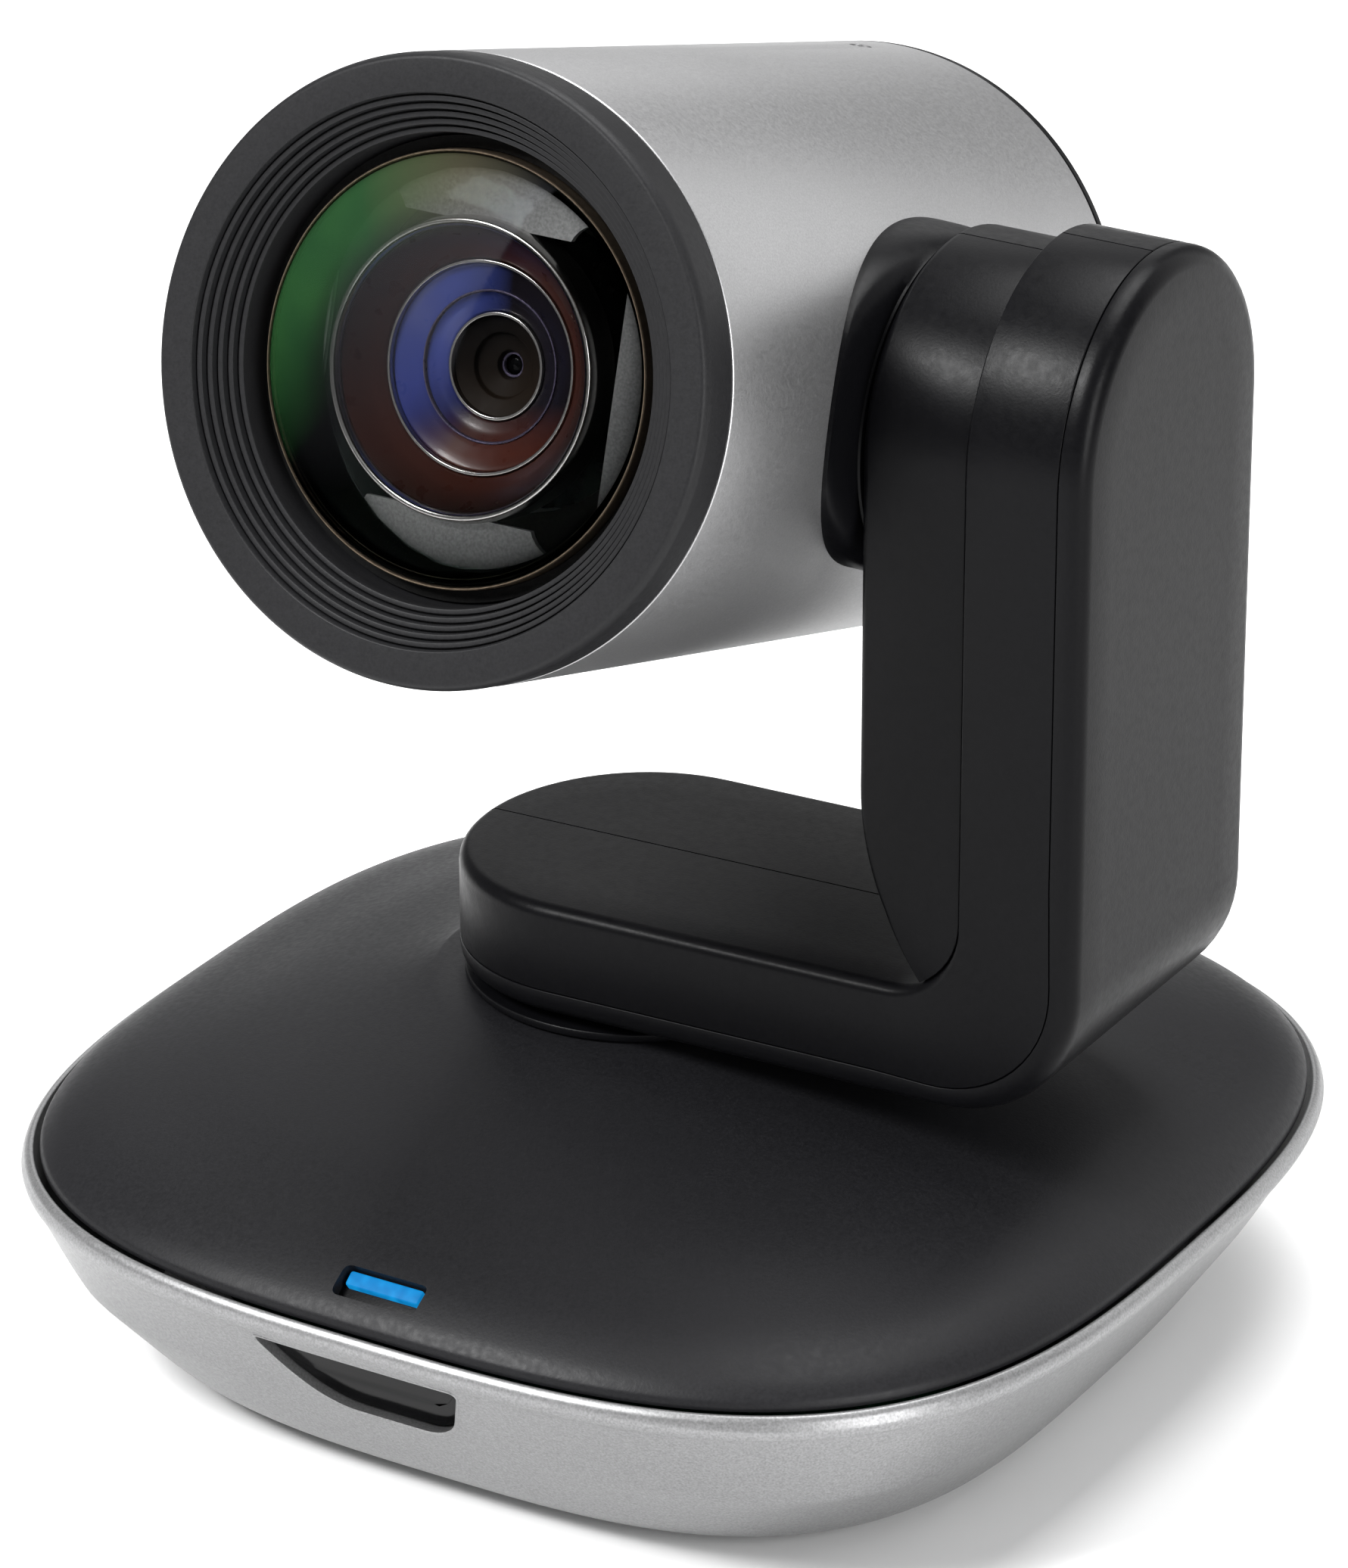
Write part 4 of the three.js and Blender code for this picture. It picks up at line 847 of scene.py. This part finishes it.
def make_arm():
    """The arm's two shells, and the cover that runs round the outside of them."""
    outer, inner = arm_curves()
    foot_edge = 1.5
    upright_edge = 0.2
    corner_start = 5 / (len(outer) - 1)
    corner_end = 19 / (len(outer) - 1)

    def inner_edge(t):
        """Round along the foot, fading through the corner to a hairline where the housing meets the arm."""
        fade = min(1, max(0, (t - corner_start) / (corner_end - corner_start)))
        return foot_edge + (upright_edge - foot_edge) * fade

    rise = ARM_TOP - ARM_ROUND_Z
    body = slab(
        "arm_body", towards(outer, inner, COVER_THICK + SEAM), inner, ARM_HALF,
        (lambda t: 0.12, inner_edge), rise=rise,
    )
    for name, front, node in (("arm_front", True, "arm_front_shell"), ("arm_rear", False, "arm_rear_shell")):
        finished(halved(body, name, front), "arm", BLACK, node)
    bpy.data.objects.remove(body)
    cover = slab(
        "arm_cover", outer, towards(outer, inner, COVER_THICK), ARM_HALF,
        (lambda t: 2.0, lambda t: 0.12), rise=rise,
    )
    finished(cover, "arm", BLACK, "arm_outer_cover")


def make_housing():
    """The two shells of the tilt drive's housing, which sweep out from the arm's inside corner."""
    clear = 0.15
    right = ARM_INNER_X - clear
    sweep_z = ARM_TOP_Z + 22
    sweep_x = HOUSING_X + HOUSING_SWEEP
    corner = (ARM_INNER_X - ARM_INNER_CORNER, ARM_TOP_Z + ARM_INNER_CORNER)
    corner_r = ARM_INNER_CORNER - clear
    steps = 16
    # Where the sweep meets the arm's inside corner.
    best = min(
        (k * 0.0005 for k in range(3142)),  # a quarter turn in small steps
        key=lambda a: abs(math.hypot(
            corner[0] + corner_r * math.sin(a) - sweep_x, corner[1] - corner_r * math.cos(a) - sweep_z
        ) - HOUSING_SWEEP),
    )
    tip = (corner[0] + corner_r * math.sin(best), corner[1] - corner_r * math.cos(best))
    tip_angle = math.atan2(tip[1] - sweep_z, tip[0] - sweep_x)
    end_angle = -math.pi
    face = []
    back = []
    for k in range(steps + 1):
        share = k / steps
        angle = tip_angle + (end_angle - tip_angle) * share
        face.append((sweep_x + HOUSING_SWEEP * math.cos(angle), sweep_z + HOUSING_SWEEP * math.sin(angle)))
        turn = best + (math.pi / 2 - best) * min(1, share * 2)
        if share <= 0.5:
            back.append((corner[0] + corner_r * math.sin(turn), corner[1] - corner_r * math.cos(turn)))
        else:
            low = corner[1]
            back.append((right, low + (sweep_z - low) * (share - 0.5) * 2))
    back[0] = (back[0][0] + 0.02, back[0][1] + 0.02)
    for height in (90, 102, HOUSING_ROUND_Z):
        face.append((HOUSING_X, height))
        back.append((right, height))
    last = len(face) - 1

    def face_edge(t):
        """The edge starts sharp at the tip and grows over the first six steps."""
        return 0.9 * min(1, max(0.02, t * last / 6))

    housing = slab(
        "housing", face, back, HOUSING_HALF, (face_edge, lambda t: 0.02 + 0.2 * min(1, t * 3)),
        rise=HOUSING_TOP - HOUSING_ROUND_Z, round_start=False,
    )
    for name, front, node in (
        ("housing_front", True, "tilt_front_shell"), ("housing_rear", False, "tilt_rear_shell"),
    ):
        finished(halved(housing, name, front), "arm", BLACK, node)
    bpy.data.objects.remove(housing)


make_arm()
make_housing()

# ---------------------------------------------------------------- head: barrel, bezel, cap and saddle


def head_turned(profile, segments=ROUND_SEGMENTS):
    """A profile turned about the lens axis."""
    return turned(profile, "Y", segments)


def make_barrel():
    """The silver tube, with a hole for the top screw and an opening for the shaft."""
    bore = 30
    back = CAP_BACK_Y - CAP_THICK - 0.2
    profile = rounded(
        [(bore, BARREL_FRONT_Y), (BARREL_R, BARREL_FRONT_Y), (BARREL_R, back), (bore, back)], [0, 0.25, 0.25, 0], 3
    )
    barrel = new_object("barrel_tube", *head_turned(profile, 256), HEAD)
    hole = prism(circle(1.25, 24, 0, 32), "Z", 26, 40, HEAD)
    side = prism(rectangle(-16, -12, 16, 12, 2), "X", 24, 40, HEAD)
    carve(barrel, hole, side)
    finished(barrel, "head", ALUMINIUM, "barrel")


def make_bezel():
    """The front ring, stepping inwards in five ridges."""
    face_r = 27.85
    inner_r = 23.9
    skirt_r = 29.4
    seat_y = BARREL_FRONT_Y - 0.25
    profile = [(24.4, -41), (skirt_r, -41), (skirt_r, seat_y)]
    profile += rounded(
        [(skirt_r, seat_y), (BARREL_R - 0.05, seat_y), (BARREL_R - 0.05, -49.9),
         (31.6, BEZEL_FRONT_Y), (28.0, BEZEL_FRONT_Y), (face_r, -50.3)],
        [0, 0.15, 0.5, 0.35, 0.12, 0], 4,
    )[1:]
    ridges = 5
    ridge_drop = 0.72
    width = (face_r - inner_r) / ridges
    for i in range(ridges):
        r = face_r - i * width
        y = -50.0 + i * ridge_drop
        profile += rounded(
            [(r, y + 0.55), (r - 0.16, y + 0.55), (r - 0.18, y - 0.06), (r - width + 0.08, y), (r - width, y + 0.6)],
            [0, 0.05, 0.1, 0.1, 0], 3,
        )
    profile += [(inner_r, -43.4), (23.7, -43)]
    piece("bezel_ring", head_turned(profile, 200), "head", BEZEL, "front_bezel", place=HEAD, angle=40)


def make_cap():
    """The rear cap, a disc with a shallow groove near its rim."""
    disc = rounded(
        [(0.01, CAP_BACK_Y - CAP_THICK), (BARREL_R, CAP_BACK_Y - CAP_THICK), (BARREL_R, CAP_BACK_Y - 0.6),
         (BARREL_R - 0.8, CAP_BACK_Y), (29.3, CAP_BACK_Y), (29.0, CAP_BACK_Y - 0.35), (28.4, CAP_BACK_Y - 0.35),
         (28.1, CAP_BACK_Y), (0.01, CAP_BACK_Y)],
        [0, 0.15, 0.4, 0.5, 0.1, 0.1, 0.1, 0.1, 0], 3,
    )
    piece("cap_disc", head_turned(disc), "head", BLACK, "rear_cap", place=HEAD)


def make_saddle():
    """An oval foot on the barrel's side that draws in to a round boss at the tilt axis."""
    segments = 120
    boss_r = 18.6
    face_x = 32.45 - HEAD_X

    def oval(a, b, grow):
        return [((a + grow) * math.cos(k * TAU / segments), 0.4 + (b + grow) * math.sin(k * TAU / segments))
                for k in range(segments)]

    foot = oval(24.7, 18.5, 0)
    boss = circle(boss_r, segments)

    def barrel_x(z, lift):
        return math.sqrt(max(0, (BARREL_R + lift) ** 2 - z * z))

    rings = [[(barrel_x(z * 0.9, -1.4), y * 0.9, z * 0.9) for y, z in foot]]
    rings.append([(barrel_x(z, -0.2), y, z) for y, z in foot])
    rings.append([(barrel_x(z, 0.5), y, z) for y, z in foot])
    for share, inward in ((0.12, 0.03), (0.3, 0.10), (0.5, 0.24), (0.72, 0.50), (0.88, 0.76), (1.0, 1.0)):
        ring = []
        for (y, z), (by, bz) in zip(foot, boss):
            yy = y + (by - y) * inward
            zz = z + (bz - z) * inward
            base = barrel_x(z, 0.5)
            ring.append((base + (face_x - 0.35 - base) * share, yy, zz))
        rings.append(ring)
    rings.append([(face_x - 0.1, y * 0.995, z * 0.995) for y, z in boss])
    rings.append([(face_x, y * 0.98, z * 0.98) for y, z in boss])
    rings.append([(face_x, y * 0.42, z * 0.42) for y, z in boss])
    rings.append([(30.0, y * 0.42, z * 0.42) for y, z in boss])
    points, faces = loft(rings, wrap_loft=True)
    piece("saddle", (points, faces), "head", BLACK, "saddle_plate", place=HEAD, angle=40)


def make_top_screw():
    """The small slotted screw near the back of the barrel's top."""
    profile = rounded([(0.01, 30.9), (1.0, 30.9), (1.1, 31.35), (0.8, 31.5), (0.01, 31.55)], [0, 0, 0.1, 0.1, 0], 3)
    points, faces = turned(profile, "Z", 32, (0, 32, 0))
    screw = new_object("top_screw_head", points, faces, HEAD)
    slot_cut = prism(rectangle(-0.8, 31.85, 0.8, 32.15, 0.05), "Z", 31.2, 32, HEAD)
    carve(screw, slot_cut)
    finished(screw, "head", DARK_METAL, "top_screw")


make_barrel()
make_bezel()
make_cap()
make_saddle()
make_top_screw()

# ---------------------------------------------------------------- lens


def dome(r, rim_y, rise, thick, rings=10):
    """A closed glass shell of even thickness, domed towards -Y."""
    outer = []
    inner = []
    for i in range(rings + 1):
        a = i / rings * math.pi / 2
        outer.append((max(0.01, r * math.cos(a)), rim_y - rise * math.sin(a)))
        inner.append((max(0.01, (r - thick * 0.5) * math.cos(a)), rim_y + thick * 0.6 - rise * math.sin(a)))
    return outer + inner[::-1]


def head_rings(name, line, paint, *nodes, radii=None, **options):
    """A closed ring of the lens, turned about its axis."""
    return piece(name, head_turned(rounded(line, radii or 0.06, 3, closed=True)), "head", paint, *nodes,
                 place=HEAD, **options)


def make_lens():
    """What the front glass shows, from its metal rim inwards to the pupil."""
    head_rings("glass_rim", [
        (21.95, GLASS_Y - 0.1), (22.1, GLASS_Y - 0.28), (22.25, GLASS_Y - 0.1), (22.3, GLASS_Y + 1.9),
        (21.95, GLASS_Y + 1.9),
    ], RIM_METAL, "glass_ring")
    head_rings("glass_seat", [
        (22.35, GLASS_Y + 1.6), (23.6, GLASS_Y + 1.6), (23.6, GLASS_Y + 3), (22.35, GLASS_Y + 3),
    ], INK)
    piece("glass_front", head_turned(dome(GLASS_R - 0.45, GLASS_Y + 0.1, 4.4, 0.7, 14)), "head", FRONT_GLASS,
          "front_glass", place=HEAD, angle=60)
    piece("tube_lining", head_turned([(22.6, 26), (20.8, 26), (20.8, -40), (22.0, -40), (22.0, -43), (22.6, -43)]),
          "head", INK, "lens_tube", place=HEAD)
    make_mask()
    head_rings("ring_large", [
        (14.5, -43.9), (14.7, -44.55), (15.25, -44.6), (15.6, -43.6), (15.6, -40), (14.5, -40),
    ], CHROME, radii=[0.1, 0.2, 0.2, 0.2, 0, 0])
    head_rings("element_large", [
        (14.5, -43.6), (13.6, -42.7), (12.4, -41.4), (11.1, -40.2), (11.1, -38.6), (14.5, -38.6),
    ], MAROON, radii=0.3)
    head_rings("ring_middle", [
        (10.6, -39.8), (10.65, -40.35), (10.95, -40.35), (11.1, -39.8), (11.1, -39), (10.6, -39),
    ], CHROME)
    head_rings("element_middle", [
        (10.6, -39.7), (9.6, -39.2), (8.2, -38.4), (6.9, -37.5), (5.6, -36.9), (5.6, -36), (10.6, -36),
    ], SAPPHIRE, radii=0.3, angle=60)
    head_rings("ring_step", [(7.6, -38.2), (7.7, -38.4), (7.85, -38.4), (7.9, -38.1), (7.6, -38.0)], VIOLET,
               radii=0.02)
    head_rings("ring_small", [
        (5.15, -36.7), (5.2, -37.2), (5.5, -37.2), (5.6, -36.8), (5.6, -36), (5.15, -36),
    ], CHROME)
    steps = []
    for i in range(2):
        r = 5.15 - i * 1.9
        steps += [(r, -36.6 + i * 1.5), (r - 1.75, -35.7 + i * 1.5)]
    head_rings("element_small", [*steps, (1.35, -33.2), (1.35, -32.6), (5.15, -32.6)], UMBER,
               radii=0.12, angle=40)
    head_rings("ring_pupil", [(1.05, -33.4), (1.1, -33.6), (1.3, -33.6), (1.35, -33.3), (1.05, -33.2)], VIOLET,
               radii=0.02)
    pupil = rounded(
        [(0.01, -33.3), (0.6, -33.2), (1.05, -32.9), (1.05, -32.4), (0.01, -32.4)],
        [0, 0.1, 0.1, 0, 0], 3, closed=True,
    )
    piece("pupil", head_turned(pupil, 48), "head", GLOSS, place=HEAD, slot="coated_glass")


def make_mask():
    """A round plate with a rectangular window, whose corners are cut out round."""
    half_w, half_h, notch = 17.0, 14.8, 3.6
    disc = turned([(0.01, -42.6), (21.9, -42.6), (21.9, -41.9), (0.01, -41.9)], "Y", 128)
    mask = new_object("mask_plate", *disc, HEAD)
    opening = prism(rectangle(-half_w, -half_h, half_w, half_h, 0.6), "Y", -44, -40, HEAD)
    rounds = [prism(circle(notch, 32, x * (half_w - 3.9), z * (half_h - 1.4)), "Y", -44, -40, HEAD)
              for x in (-1, 1) for z in (-1, 1)]
    carve(mask, opening, *rounds)
    return finished(mask, "head", BAFFLE, "lens_mask")


make_lens()

# ---------------------------------------------------------------- looks for the CAD nodes that stay as they are

NODE_PAINTS = {
    "bottom_plate": CHARCOAL,
    "tripod_insert": BRASS,
    "ballast_plate": STEEL,
    "main_board": BOARD,
    "pan_motor": DARK_METAL,
    "pan_pinion": BRASS,
    "port_panel": BLACK,
    "power_socket": GLOSS,
    "usb_socket": STEEL,
    "cable_socket": GLOSS,
    "infrared_receiver": GLOSS,
    "light_chip": NYLON,
    "pan_bearing": STEEL,
    "pan_gear": NYLON,
    "tilt_bearing": STEEL,
    "tilt_motor": DARK_METAL,
    "tilt_pinion": BRASS,
    "tilt_shaft": STEEL,
    "tilt_gear": NYLON,
    "zoom_mount": DARK_METAL,
    "zoom_lens": GLOSS,
    "focus_mount": DARK_METAL,
    "focus_lens": GLOSS,
    "sensor_board": BOARD,
    "image_sensor": GLOSS,
}
for number in range(1, 5):
    NODE_PAINTS[f"foot_pad_{number}"] = RUBBER
    NODE_PAINTS[f"base_screw_{number}"] = STEEL

for node, paint in NODE_PAINTS.items():
    kept = frame["nodes"][node]
    kept.data.materials.clear()
    kept.data.materials.append(paint.material)

# ---------------------------------------------------------------- floor, light and camera


def make_floor():
    """A pale floor far larger than the view."""
    size = 6000
    points = [(-size, -size, 0), (size, -size, 0), (size, size, 0), (-size, size, 0)]
    floor = new_object("floor", points, [(0, 1, 2, 3)])
    paint = Paint("floor_paint", (0.86, 0.86, 0.86), 0.8, specular=0.2).grain(30, 0.01, 0.01, 200)
    floor.data.materials.append(paint.material)


LIT_MIDDLE = (0, 0, 0.08)


def area_light(name, place, width, height, power):
    """A white softbox that faces the middle of the camera."""
    data = bpy.data.lights.new(name, "AREA")
    data.shape = "RECTANGLE"
    data.size = width
    data.size_y = height
    data.energy = power
    lamp = bpy.data.objects.new(name, data)
    lamp.location = place
    lamp.rotation_euler = (Vector(LIT_MIDDLE) - Vector(place)).to_track_quat("-Z", "Y").to_euler()
    bpy.context.scene.collection.objects.link(lamp)


def make_world(strength):
    """An even white surrounding light."""
    world = bpy.data.worlds.new("studio")
    world.use_nodes = True
    world.node_tree.nodes["Background"].inputs["Color"].default_value = (1, 1, 1, 1)
    world.node_tree.nodes["Background"].inputs["Strength"].default_value = strength
    bpy.context.scene.world = world


def make_camera():
    """The view from the front right, from above."""
    azimuth = math.radians(30.59)
    elevation = math.radians(24.12)
    distance = 0.8174
    target = Vector((0, 0, 0.07308))
    back = Vector((
        math.sin(azimuth) * math.cos(elevation), -math.cos(azimuth) * math.cos(elevation), math.sin(elevation),
    ))
    data = bpy.data.cameras.new("camera")
    data.lens = 173.97
    data.sensor_width = 36
    data.sensor_fit = "AUTO"
    data.shift_x = -0.0031
    data.shift_y = -0.0526
    camera = bpy.data.objects.new("camera", data)
    camera.location = target + back * distance
    camera.rotation_euler = (-back).to_track_quat("-Z", "Y").to_euler()
    bpy.context.scene.collection.objects.link(camera)
    bpy.context.scene.camera = camera


make_floor()
area_light("key", (-0.42, -0.70, 0.85), 0.34, 0.34, 17)
area_light("right", (0.95, -0.45, 0.35), 0.4, 0.7, 8)
area_light("top", (0.0, 0.25, 1.1), 0.7, 0.7, 15)
area_light("back", (0.60, 0.98, 0.52), 0.9, 1.2, 3.8)
area_light("behind", (-0.60, 0.95, 0.60), 0.8, 0.7, 1.2)
make_world(0.25)
make_camera()
bpy.context.scene.view_settings.view_transform = "Standard"
